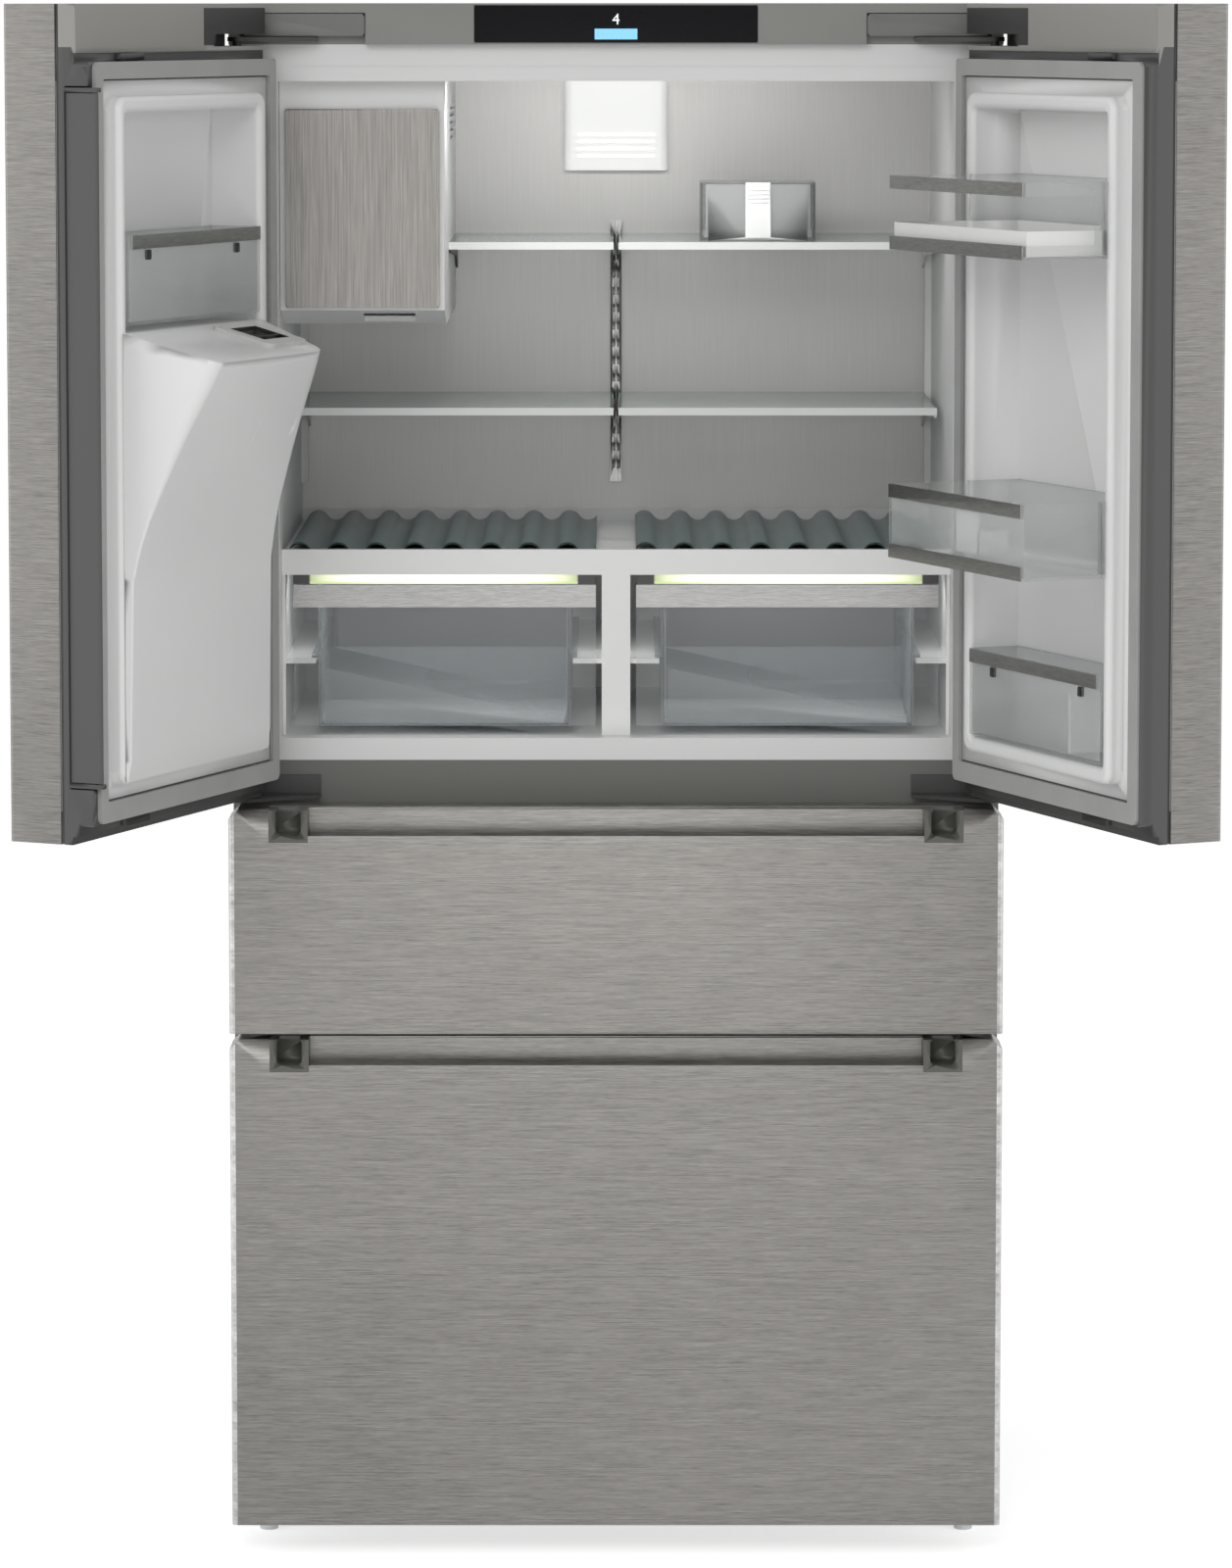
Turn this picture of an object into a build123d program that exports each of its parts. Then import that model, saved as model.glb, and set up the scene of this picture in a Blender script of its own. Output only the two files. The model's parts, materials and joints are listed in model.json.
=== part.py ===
from build123d import *
import os
from math import cos, radians, sin

# All lengths are in millimetres. Depths are measured back from the plane of the drawer fronts.

# Cabinet
cabinet_width = 909.0
cabinet_height = 1830.0
front_y = -175.0
casing_back = 712.0
casing_bottom = 61.0
casing_sheet = 1.2
front_rim = 14.5
fascia_bottom = 1782.0
fascia_thickness = 15.0
rail_bottom = 877.0
rail_top = 935.0
rail_sheet = 2.0
rail_depth = 40.0
flange_bottom = 75.0
back_rib_levels = (520.0, 900.0, 1280.0, 1660.0)
back_rib_inset = 93.0
back_rib_half_height = 15.0
back_rib_rise = 3.0

# Compartments
side_wall = 56.5
liner_wall = 2.5
compartment_back = 640.0
fridge_floor = 961.0
fridge_ceiling = 1739.0
header_line = 1755.0
upper_bay = (662.0, 848.0)
lower_bay = (105.0, 580.0)
step_foot = 460.0
step_head = 520.0
step_height = 275.0
machine_front = 495.0
machine_ceiling = 245.0
machine_knee = 90.0
machine_slope = 50.0
wall_clearance = 0.3

# Base, feet and rear rollers
base_rail_width = 28.0
base_rail_sheet = 21.0
base_rail_wall = 2.0
base_front = 116.0
base_bar_depth = 26.0
plate_level = 58.0
plate_sheet = 3.0
foot_radius = 11.0
foot_stem_radius = 6.0
foot_disc = 9.0
foot_inset = 36.5
foot_setback = 14.0
roller_radius = 24.0
roller_width = 22.0
roller_inset = 45.5
roller_setback = 57.0
roller_edge = 3.0
ear_half_depth = 12.0
ear_drop = 8.0
ear_sheet = 4.0
axle_radius = 4.0
axle_overhang = 9.0
running_fit = 0.08
side_play = 0.5

# Doors
door_angle = 114.0
door_gap = 3.0
door_bottom = 898.0
door_top = 1830.0
shell_depth = 65.0
door_sheet = 1.2
edge_radius = 4.0
groove_depth = 4.5
groove_inset = 3.0
frame_back = 105.0
frame_levels = (919.0, 1766.0)
ledge_back = 88.0
ledge_levels = (907.0, 1776.0)
header_back = 91.0
cap_levels = (935.0, 1745.0)
window_insets = (25.0, 22.0)
window_z = (946.0, 1745.0)
gasket_thickness = 4.6
gasket_u = (8.5, 24.0)
gasket_free_insets = (20.0, 2.0)
gasket_z = (921.0, 1766.0)
gasket_band = 19.0
seal_gap = 0.4
catch_u = (300.0, 357.0)
catch_rise = 6.0
catch_eye_radius = 4.5

# Door liners
dyke_height = 20.0
dyke_insets = (62.0, 37.0)
dyke_z = (962.0, 1728.0)
dyke_band = 18.0
dyke_radius = 7.0
recess_floor = 62.0

# Hinges
pin_inset = 12.0
pin_depth = 60.0
pin_radius = 5.0
hinge_plate = 5.0
arm_radius = 11.0
arm_level = 1786.0
arm_reach = 104.0
hinge_flange = 3.0
hinge_flange_height = 32.0
pocket_levels = (1781.0, 1795.0)
pocket_reach = 130.0
pin_grip = 34.0
lower_hinge_level = 891.5
lower_hinge_plate = 4.0
lower_flange_height = 26.0
hinge_washer = 10.0
hinge_cover_insets = (159.5, 16.5)
hinge_cover_z = (1784.0, 1818.0)

# Display
display_half = 166.5
display_z = (1784.0, 1828.0)
display_sheet = 4.0

# Folding mullion on the left door
mullion_inset = 5.5
mullion_rise = 8.0
mullion_length = 36.0
mullion_sheet = 6.0
mullion_z = (968.0, 1732.0)
mullion_pin_radius = 2.0
mullion_bracket = 8.0
mullion_recess = 10.0
left_gasket_free_insets = (29.0, 12.0)

# Ice chute and dispenser in the left door
chute_slope_start = 1466.0
chute_slope = 0.26
chute_foot = 966.0
chute_swells = (
    (276.0, 10.0),
    (233.0, 21.0),
    (196.0, 35.0),
    (152.0, 55.0),
    (109.0, 76.0),
    (66.0, 99.0),
    (26.0, 118.0),
    (-9.0, 131.0),
)
chute_edge_room = 30.0
duct_u = (154.0, 216.0)
duct_d = (156.0, 200.0)
duct_straight = 116.0
mouth_drop = 132.0
mouth_height = 48.0
collar_border = 17.0
collar_corner = 12.0
collar_rise = 5.0
niche_u = (120.0, 330.0)
niche_z = (1090.0, 1420.0)
niche_back = 84.0
niche_wall = 2.5
niche_corner = 18.0
paddle_width = 60.0
paddle_height = 82.0
paddle_sheet = 4.0
paddle_pivot_z = 1275.0
paddle_pivot_d = 68.0
paddle_pin_radius = 2.5
paddle_play = 1.0
paddle_ear = 4.0

# Door racks
rack_wall = 3.0
rack_inset = 19.5
rack_proud = 1.5
rack_corner = 4.0
rack_clearance = 0.6
wide_rack_insets = (75.0, 45.0)
wide_rack_reach = 104.0
rack_post = 16.0
left_rack_z = (1475.0, 1574.0)
upper_rack_z = (1549.0, 1634.0)
middle_rack_z = (1194.0, 1279.0)
lower_rack_z = (984.0, 1084.0)
strip_height = 15.5
strip_sheet = 1.5
tray_height = 28.0
tray_wall = 2.0
tray_play = 1.5

# Freezer drawers
drawer_inset = 0.5
upper_front_z = (624.7, 889.7)
lower_front_z = (36.5, 617.8)
front_shell_depth = 66.0
front_corner_cut = 12.0
front_edge_radius = 5.0
grip_inset = 47.5
grip_height = 38.7
grip_depth = 36.0
grip_cap_width = 46.0
grip_sheet = 2.0
grip_lip = 8.0
grip_scoop_wall = 8.0
inner_panel_inset = 18.5
drawer_gasket_thickness = 5.6
drawer_gasket_band = 18.0
drawer_gasket_inset = 14.0
plug_gap = 14.0
plug_depth = 18.0
plug_margin = 6.0
basket_gap = 32.0
basket_back = 590.0
basket_wall = 3.0
basket_slot = (40.0, 24.0)
basket_slot_pitch = 64.0
basket_slot_drop = 16.0
upper_basket_z = (672.0, 790.0)
lower_basket_z = (118.0, 470.0)
step_gap = 12.0
upper_runner_z = 740.0
lower_runner_z = 430.0
runner_length = 460.0
runner_front = 124.0
runner_sheet = 2.0
runner_half_height = 12.0
runner_play = 0.6
runner_web = 12.0
tongue_half_height = 5.0
middle_runner_short = 10.0

# Fridge shelves and their rails
shelf_front = 300.0
shelf_back = 622.0
shelf_glass = 4.0
upper_shelf_z = 1541.0
lower_shelf_z = 1340.0
shelf_inner_x = 3.0
trim_height = 9.0
trim_depth = 10.0
trim_lip = 3.0
rail_half = 7.5
slot_rail_z = (1225.0, 1556.0)
slot_rail_depth = 8.0
slot_pitch = 22.0
slot_half_height = 5.0
slot_x = (1.5, 5.0)
bracket_sheet = 3.0
bracket_drop = 40.0
bracket_nose = 8.0
bracket_shoulder = (60.0, 22.0)
side_rail_depth = (606.0, 624.0)
side_rail_sheet = 8.0

# Cover over the cold air duct
duct_cover_half = 64.5
duct_cover_height = 119.0
duct_cover_depth = 22.0
duct_cover_corner = 10.0
duct_slot_inset = 16.5
duct_slot_height = 4.0
duct_slot_pitch = 9.0
duct_slots = 4

# Bottle floor, divider frame and fresh drawers
divider_front = 140.0
divider_z = (1157.0, 1176.0)
divider_sheet = 8.0
divider_back = 618.0
divider_bar = 12.0
divider_lips = (4.0, 7.0)
column_half = 17.0
ledge_height = 6.0
ledge_gap = 3.0
ledge_setback = 8.0
post_sheet = 4.0
mat_margins = (7.0, 10.0)
mat_setback = 14.0
mat_sheet = 3.0
mat_wave = 12.0
mat_pitch = 42.0
led_height = 11.0
led_depth = 8.0
led_margins = (9.0, 14.0)
fresh_front_margins = (7.0, 14.0)
fresh_margins = (37.5, 43.0)
fresh_z = (972.0, 1141.0)
fresh_back = 600.0
fresh_wall = 3.0
fresh_corner = 8.0
fresh_strip_height = 27.0
fresh_rib_z = 1052.0
fresh_rib = 8.0
fresh_rib_sheet = 4.0
fresh_play = 0.4
fresh_partition_depth = 390.0
fresh_partition_height = 68.0

# Ice maker
ice_width = 194.5
ice_side_gap = 0.5
ice_front = 139.0
ice_top = 1739.0
ice_bottom = 1448.0
ice_chamfer_back = 215.0
ice_chamfer_top = 1468.0
ice_wall = 6.0
ice_panel_margins = (6.5, 6.0)
ice_panel_z = (1471.0, 1706.0)
ice_panel_front = 132.0
ice_vents = 5
ice_vent_z = 1664.0
ice_vent_height = 5.0
ice_vent_pitch = 9.0
ice_vent_depth = (400.0, 590.0)
ice_bin_play = 2.0
ice_bin_top = 1630.0
ice_bin_back = 560.0
ice_bin_wall = 3.0

# Covered dish on the upper shelf
dish_x = (103.0, 244.0)
dish_depth = (372.0, 482.0)
dish_base = 15.0
dish_height = 71.0
dish_wall = 2.5
dish_corner = 10.0
dish_slider_width = 31.0
dish_slider_rise = 1.5
dish_slider_ribs = 4

# Machine compartment
machine_setback = 102.0
compressor_x = 250.0
compressor_radius = 62.0
compressor_height = 150.0
compressor_seam = 66.0
compressor_rim = 4.0
compressor_grommet = 14.0
grommet_radius = 8.0
condenser_x = (-330.0, -170.0)
condenser_half_depth = 50.0
condenser_fins = 14
condenser_height = 120.0
fin_sheet = 1.6
tube_radius = 4.0
tube_pitch = 30.0
tube_overhang = 8.0
fan_x = -20.0
fan_height = 72.0
fan_radius = 58.0
fan_hub = 16.0
fan_blades = 7
blade_width = 26.0
blade_sheet = 3.0
shaft_radius = 3.0
motor_radius = 20.0
motor_x = (14.0, 50.0)
stand_width = 24.0
stand_foot = (40.0, 60.0)
cover_slot = (40.0, 8.0)
cover_slot_pitch = 30.0
cover_slot_levels = (95.0, 150.0, 205.0)
cover_margin = 72.0
inlet_inset = 42.0
inlet_size = (50.0, 34.0)
inlet_bottom = 300.0
inlet_depth = 23.0
inlet_wall = 5.0

# Values worked out from the sizes above
half = cabinet_width / 2
inner_half = half - casing_sheet
opening_half = half - side_wall
flange_half = half - front_rim
pin_x = half - pin_inset
foot_x = half - foot_inset
foot_depth = base_front + foot_setback
roller_x = half - roller_inset
roller_depth = casing_back - roller_setback
machine_line = casing_back - machine_setback
sealing_depth = frame_back + gasket_thickness + seal_gap
fascia_front = sealing_depth - fascia_thickness
hinge_cover_x = (half - hinge_cover_insets[0], half - hinge_cover_insets[1])
door_width = half - door_gap / 2
window_u = (window_insets[0], door_width - window_insets[1])
dyke_u = (dyke_insets[0], door_width - dyke_insets[1])
dyke_back = frame_back + dyke_height
gasket_free_u = (door_width - gasket_free_insets[0], door_width - gasket_free_insets[1])
left_gasket_free_u = (
    door_width - left_gasket_free_insets[0],
    door_width - left_gasket_free_insets[1],
)
mullion_pivot = (door_width - mullion_inset, frame_back + mullion_rise)
mullion_recess_u = door_width - mullion_recess
wide_rack_back = dyke_back + wide_rack_reach
rack_u = (dyke_u[0] + rack_inset, dyke_u[1] - rack_inset)
wide_rack_u = (wide_rack_insets[0], door_width - wide_rack_insets[1])
duct_bend = chute_slope_start - duct_straight
duct_mouth = (
    chute_slope_start - mouth_drop - mouth_height,
    chute_slope_start - mouth_drop,
)
drawer_half = half - drawer_inset
grip_half = half - grip_inset
inner_panel_half = half - inner_panel_inset
front_inner_back = sealing_depth - seal_gap - drawer_gasket_thickness
plug_half = opening_half - plug_gap
plug_back = front_inner_back + plug_depth
basket_half = opening_half - basket_gap
ice_x = (ice_side_gap - opening_half, ice_side_gap - opening_half + ice_width)
ice_panel_x = (ice_x[0] + ice_panel_margins[0], ice_x[1] - ice_panel_margins[1])
shelf_outer_x = opening_half - side_rail_sheet - wall_clearance
upper_left_shelf_x = -ice_x[1] - wall_clearance
duct_cover_bottom = fridge_ceiling - duct_cover_height
mat_x = (column_half + mat_margins[0], opening_half - mat_margins[1])
led_x = (column_half + led_margins[0], opening_half - led_margins[1])
fresh_front_x = (column_half + fresh_front_margins[0], opening_half - fresh_front_margins[1])
fresh_x = (column_half + fresh_margins[0], opening_half - fresh_margins[1])
cabinet = Plane(origin=(0, front_y, 0), x_dir=(1, 0, 0), z_dir=(0, 0, 1))


def door_frame(side):
    """Frame of one open door: x across from the hinge, y back through it, z up."""
    turn = radians(door_angle)
    across = Vector(cos(turn), -side * sin(turn), 0)
    back = Vector(side * sin(turn), cos(turn), 0)
    pin = Vector(-side * pin_x, front_y + pin_depth, 0)
    corner = pin - across * (side * pin_inset) - back * pin_depth
    return Plane(origin=corner, x_dir=across, z_dir=(0, 0, 1))


def facing(frame, depth):
    """Upright plane across one frame at a depth, seen from the front: x across, y up."""
    return Plane(
        origin=frame.from_local_coords((0, depth, 0)), x_dir=frame.x_dir, z_dir=-frame.y_dir
    )


def sideways(frame, across):
    """Upright plane along the depth of one frame: x back, y up."""
    return Plane(
        origin=frame.from_local_coords((across, 0, 0)), x_dir=frame.y_dir, z_dir=frame.x_dir
    )


def block(frame, x, y, z, mode=Mode.ADD, corner=0.0):
    """Block between two places along each axis of a frame, with rounded upright edges."""
    with BuildSketch(frame.offset(min(z))) as outline:
        with Locations(((x[0] + x[1]) / 2, (y[0] + y[1]) / 2)):
            Rectangle(abs(x[1] - x[0]), abs(y[1] - y[0]))
        if corner:
            fillet(outline.vertices(), corner)
    extrude(outline.sketch, amount=abs(z[1] - z[0]), mode=mode)


def panel(frame, x, z, y, mode=Mode.ADD, corner=0.0):
    """Upright panel seen from the front, with rounded corners, from depth y[0] back to y[1]."""
    with BuildSketch(facing(frame, min(y))) as outline:
        with Locations(((x[0] + x[1]) / 2, (z[0] + z[1]) / 2)):
            Rectangle(abs(x[1] - x[0]), abs(z[1] - z[0]))
        if corner:
            fillet(outline.vertices(), corner)
    extrude(outline.sketch, amount=-abs(y[1] - y[0]), mode=mode)


def side_profile(frame, x, points, mode=Mode.ADD, grow=0.0, corner=0.0):
    """Closed profile of depth and height points, carried across from x[0] to x[1]."""
    with BuildSketch(sideways(frame, min(x))) as outline:
        with BuildLine():
            Polyline(*points, close=True)
        make_face()
        if corner:
            fillet(outline.vertices(), corner)
        if grow:
            offset(amount=grow, kind=Kind.INTERSECTION)
    extrude(outline.sketch, amount=abs(x[1] - x[0]), mode=mode)


def plan_profile(frame, z, points, mode=Mode.ADD):
    """Closed profile of across and depth points, carried up from z[0] to z[1]."""
    with BuildSketch(frame.offset(min(z))) as outline:
        with BuildLine():
            Polyline(*points, close=True)
        make_face()
    extrude(outline.sketch, amount=abs(z[1] - z[0]), mode=mode)


def upright_rod(frame, x, y, z, radius, mode=Mode.ADD):
    """Round rod or hole that stands at x, y from z[0] to z[1]."""
    with BuildSketch(frame.offset(min(z))) as outline:
        with Locations((x, y)):
            Circle(radius)
    extrude(outline.sketch, amount=abs(z[1] - z[0]), mode=mode)


def cross_rod(frame, x, y, z, radius, mode=Mode.ADD):
    """Round rod or hole that lies across from x[0] to x[1] at depth y and height z."""
    with BuildSketch(sideways(frame, min(x))) as outline:
        with Locations((y, z)):
            Circle(radius)
    extrude(outline.sketch, amount=abs(x[1] - x[0]), mode=mode)


def both(low, high):
    """The span between two distances on the left and on the right of the middle."""
    return (-high, -low), (low, high)


def write(piece, name):
    """Label a finished piece and write its file."""
    piece.part.label = name
    export_step(piece.part, f"parts/{name}.step")


os.makedirs("parts", exist_ok=True)
left_door = door_frame(1)
right_door = door_frame(-1)
step_profile = (
    (sealing_depth, lower_bay[0]),
    (step_foot, lower_bay[0]),
    (step_head, step_height),
    (compartment_back, step_height),
    (compartment_back, lower_bay[1]),
    (sealing_depth, lower_bay[1]),
)
machine_profile = (
    (machine_front, casing_bottom - 1),
    (machine_front, casing_bottom + machine_knee),
    (machine_front + machine_slope, machine_ceiling),
    (casing_back + 1, machine_ceiling),
    (casing_back + 1, casing_bottom - 1),
)


def bay(floor_and_ceiling, grow, mode):
    """Straight compartment of the cabinet, or its outside when it grows by the liner wall."""
    block(
        cabinet,
        (-opening_half - grow, opening_half + grow),
        (sealing_depth, compartment_back + grow),
        (floor_and_ceiling[0] - grow, floor_and_ceiling[1] + grow),
        mode,
    )


def stepped_bay(grow, mode):
    """Lower freezer compartment, stepped over the machine compartment."""
    span = (-opening_half - grow, opening_half + grow)
    side_profile(cabinet, span, step_profile, mode, grow)


def front_flange(z, mode):
    """Flat liner flange on the front of the cabinet."""
    panel(
        cabinet, (-flange_half, flange_half), z, (sealing_depth, sealing_depth + liner_wall), mode
    )


def rail_section(mode):
    """Channel that crosses the cabinet between the fridge and the freezer."""
    span = (-flange_half, flange_half)
    sheet_span = (sealing_depth, sealing_depth + rail_sheet)
    behind = (sealing_depth, sealing_depth + rail_depth)
    block(cabinet, span, sheet_span, (rail_bottom, rail_top), mode)
    block(cabinet, span, behind, (rail_bottom, rail_bottom + rail_sheet), mode)
    block(cabinet, span, behind, (rail_top - rail_sheet, rail_top), mode)


# Outer steel casing, open at the back and around the front openings
with BuildPart() as cabinet_casing:
    casing_height = (casing_bottom, cabinet_height)
    block(cabinet, (-half, half), (sealing_depth, casing_back), casing_height)
    block(
        cabinet,
        (-inner_half, inner_half),
        (sealing_depth + casing_sheet, casing_back + 1),
        (casing_bottom + casing_sheet, cabinet_height - casing_sheet),
        Mode.SUBTRACT,
    )
    panel(
        cabinet,
        (-flange_half, flange_half),
        (flange_bottom, fascia_bottom),
        (sealing_depth - 1, sealing_depth + casing_sheet + 1),
        Mode.SUBTRACT,
    )
    block(
        cabinet,
        (-inner_half, inner_half),
        (machine_front, casing_back + 1),
        (casing_bottom - 1, casing_bottom + casing_sheet + 1),
        Mode.SUBTRACT,
    )
write(cabinet_casing, "cabinet_casing")

# Foam that fills the walls between the casing and the liners
with BuildPart() as insulation:
    block(
        cabinet,
        (-inner_half, inner_half),
        (sealing_depth + casing_sheet, casing_back),
        (casing_bottom + casing_sheet, cabinet_height - casing_sheet),
    )
    bay((fridge_floor, fridge_ceiling), liner_wall, Mode.SUBTRACT)
    bay(upper_bay, liner_wall, Mode.SUBTRACT)
    stepped_bay(liner_wall, Mode.SUBTRACT)
    front_flange((rail_top, fascia_bottom), Mode.SUBTRACT)
    front_flange((flange_bottom, rail_bottom), Mode.SUBTRACT)
    rail_section(Mode.SUBTRACT)
    side_profile(cabinet, (-inner_half, inner_half), machine_profile, Mode.SUBTRACT)
write(insulation, "insulation")

# Moulded liner of the fridge with its flat front flange
with BuildPart() as fridge_liner:
    bay((fridge_floor, fridge_ceiling), liner_wall, Mode.ADD)
    front_flange((rail_top, fascia_bottom), Mode.ADD)
    bay((fridge_floor, fridge_ceiling), 0, Mode.SUBTRACT)
    panel(
        cabinet,
        (-flange_half, flange_half),
        (header_line, header_line + 2),
        (sealing_depth, sealing_depth + 1),
        Mode.SUBTRACT,
    )
write(fridge_liner, "fridge_liner")

# Freezer liner with two compartments, the lower one stepped over the machine space
with BuildPart() as freezer_liner:
    bay(upper_bay, liner_wall, Mode.ADD)
    stepped_bay(liner_wall, Mode.ADD)
    front_flange((flange_bottom, rail_bottom), Mode.ADD)
    bay(upper_bay, 0, Mode.SUBTRACT)
    stepped_bay(0, Mode.SUBTRACT)
    ahead = (sealing_depth - 2 * liner_wall, sealing_depth)
    block(cabinet, (-half, half), ahead, (0, rail_bottom), Mode.SUBTRACT)
write(freezer_liner, "freezer_liner")

with BuildPart() as cross_rail:
    rail_section(Mode.ADD)
write(cross_rail, "cross_rail")

# Fascia above the doors, with a recess for the display and a notch at each hinge
with BuildPart() as top_fascia:
    fascia_height = (fascia_bottom, cabinet_height)
    block(cabinet, (-half, half), (fascia_front, sealing_depth), fascia_height)
    panel(
        cabinet,
        (-display_half, display_half),
        display_z,
        (fascia_front - 1, fascia_front + display_sheet),
        Mode.SUBTRACT,
    )
    for span in both(hinge_cover_x[0] - 1, hinge_cover_x[1] + 3):
        notch = (fascia_bottom - 1, hinge_cover_z[1] + 1)
        panel(cabinet, span, notch, (fascia_front - 1, sealing_depth + 1), Mode.SUBTRACT)
    for span in both(*hinge_cover_x):
        hood = (arm_level + hinge_plate + 1, hinge_cover_z[1])
        hood_depth = (fascia_front - 1.5, sealing_depth - hinge_flange - 0.3)
        panel(cabinet, span, hood, hood_depth, corner=4)
write(top_fascia, "top_fascia")

with BuildPart() as display_panel:
    panel(
        cabinet,
        (-display_half + 0.3, display_half - 0.3),
        (display_z[0] + 0.3, display_z[1] - 0.3),
        (fascia_front - 0.5, fascia_front + display_sheet),
        corner=3,
    )
write(display_panel, "display_panel")

# Hinge arms at the top with pins that point down, and brackets below with pins that point up
with BuildPart() as door_hinges:
    for side in (-1, 1):
        arm_back = sealing_depth - hinge_flange
        arm_span = (arm_level, arm_level + hinge_plate)
        arm_tip = half - arm_reach
        upright_rod(cabinet, side * pin_x, pin_depth, arm_span, arm_radius)
        arm_outline = (
            (side * (pin_x + arm_radius), pin_depth),
            (side * (pin_x - 6), fascia_front - 5),
            (side * (pin_x - 6), sealing_depth),
            (side * arm_tip, sealing_depth),
            (side * arm_tip, fascia_front - 4),
            (side * (pin_x - 5), pin_depth - arm_radius + 1.5),
        )
        plan_profile(cabinet, arm_span, arm_outline)
        block(
            cabinet,
            (side * arm_tip, side * (pin_x - 6)),
            (arm_back, sealing_depth),
            (arm_level, arm_level + hinge_flange_height),
        )
        pin_span = (pocket_levels[0] - pin_grip, arm_level)
        upright_rod(cabinet, side * pin_x, pin_depth, pin_span, pin_radius)

        plate = (lower_hinge_level, lower_hinge_level + lower_hinge_plate)
        upright_rod(cabinet, side * pin_x, pin_depth, plate, arm_radius)
        plan_profile(cabinet, plate, arm_outline)
        block(
            cabinet,
            (side * arm_tip, side * (pin_x - 6)),
            (arm_back, sealing_depth),
            (plate[0], plate[0] + lower_flange_height),
        )
        washer = (plate[1], door_bottom - 0.3)
        upright_rod(cabinet, side * pin_x, pin_depth, washer, hinge_washer)
        lower_pin = (washer[1], door_bottom + pin_grip)
        upright_rod(cabinet, side * pin_x, pin_depth, lower_pin, pin_radius)
write(door_hinges, "door_hinges")

with BuildPart() as back_panel:
    panel(
        cabinet,
        (-inner_half, inner_half),
        (machine_ceiling, cabinet_height - casing_sheet),
        (casing_back, casing_back + 1),
    )
    rib_half = inner_half - back_rib_inset
    rib_depth = (casing_back, casing_back + back_rib_rise)
    for level in back_rib_levels:
        rib_z = (level - back_rib_half_height, level + back_rib_half_height)
        panel(cabinet, (-rib_half, rib_half), rib_z, rib_depth, corner=12)
write(back_panel, "back_panel")

# Base frame: two long rails, a front bar and a plate under the machine space
with BuildPart() as base_frame:
    rail_height = (casing_bottom - base_rail_sheet, casing_bottom)
    for span in both(half - base_rail_width, half - 0.5):
        block(cabinet, span, (base_front, casing_back), rail_height)
        gap = (min(span) + base_rail_wall, max(span) - base_rail_wall)
        gap_depth = (base_front + base_bar_depth + base_rail_wall, casing_back - base_rail_wall)
        cut_height = (rail_height[0] - 1, plate_level)
        block(cabinet, gap, gap_depth, cut_height, Mode.SUBTRACT)
    bar = (base_front, base_front + base_bar_depth)
    block(cabinet, (-half + 0.5, half - 0.5), bar, rail_height)
    block(
        cabinet,
        (-inner_half + 1, inner_half - 1),
        (machine_front, casing_back),
        (plate_level - plate_sheet, plate_level),
    )
    for side in (-1, 1):
        clear = roller_width / 2 + side_play + base_rail_wall
        wheel_well = (side * roller_x - clear, side * roller_x + clear)
        reach = roller_radius + ear_sheet
        well_depth = (roller_depth - reach, roller_depth + reach)
        block(cabinet, wheel_well, well_depth, (rail_height[0] - 1, plate_level + 1), Mode.SUBTRACT)
        for across in (roller_x - clear - ear_sheet / 2, roller_x + clear + ear_sheet / 2):
            ear = (side * across - ear_sheet / 2, side * across + ear_sheet / 2)
            ear_depth = (roller_depth - ear_half_depth, roller_depth + ear_half_depth)
            block(cabinet, ear, ear_depth, (roller_radius - ear_drop, casing_bottom - 1))
        upright_rod(
            cabinet,
            side * foot_x,
            foot_depth,
            (rail_height[0] - 1, rail_height[1] + 1),
            foot_stem_radius + running_fit,
            Mode.SUBTRACT,
        )
    whole = (-half, half)
    axle_hole = axle_radius + running_fit
    cross_rod(cabinet, whole, roller_depth, roller_radius, axle_hole, Mode.SUBTRACT)
write(base_frame, "base_frame")

with BuildPart() as feet:
    for side in (-1, 1):
        upright_rod(cabinet, side * foot_x, foot_depth, (0, foot_disc), foot_radius)
        stem = (foot_disc, casing_bottom - wall_clearance)
        upright_rod(cabinet, side * foot_x, foot_depth, stem, foot_stem_radius)
write(feet, "feet")

# Rear axle with its two rollers
with BuildPart() as rear_rollers:
    for side in (-1, 1):
        tread = (side * roller_x - roller_width / 2, side * roller_x + roller_width / 2)
        cross_rod(cabinet, tread, roller_depth, roller_radius, roller_radius)
    fillet(rear_rollers.edges().filter_by(GeomType.CIRCLE), roller_edge)
    axle_end = roller_x + roller_width / 2 + axle_overhang
    cross_rod(cabinet, (-axle_end, axle_end), roller_depth, roller_radius, axle_radius)
write(rear_rollers, "rear_rollers")

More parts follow.
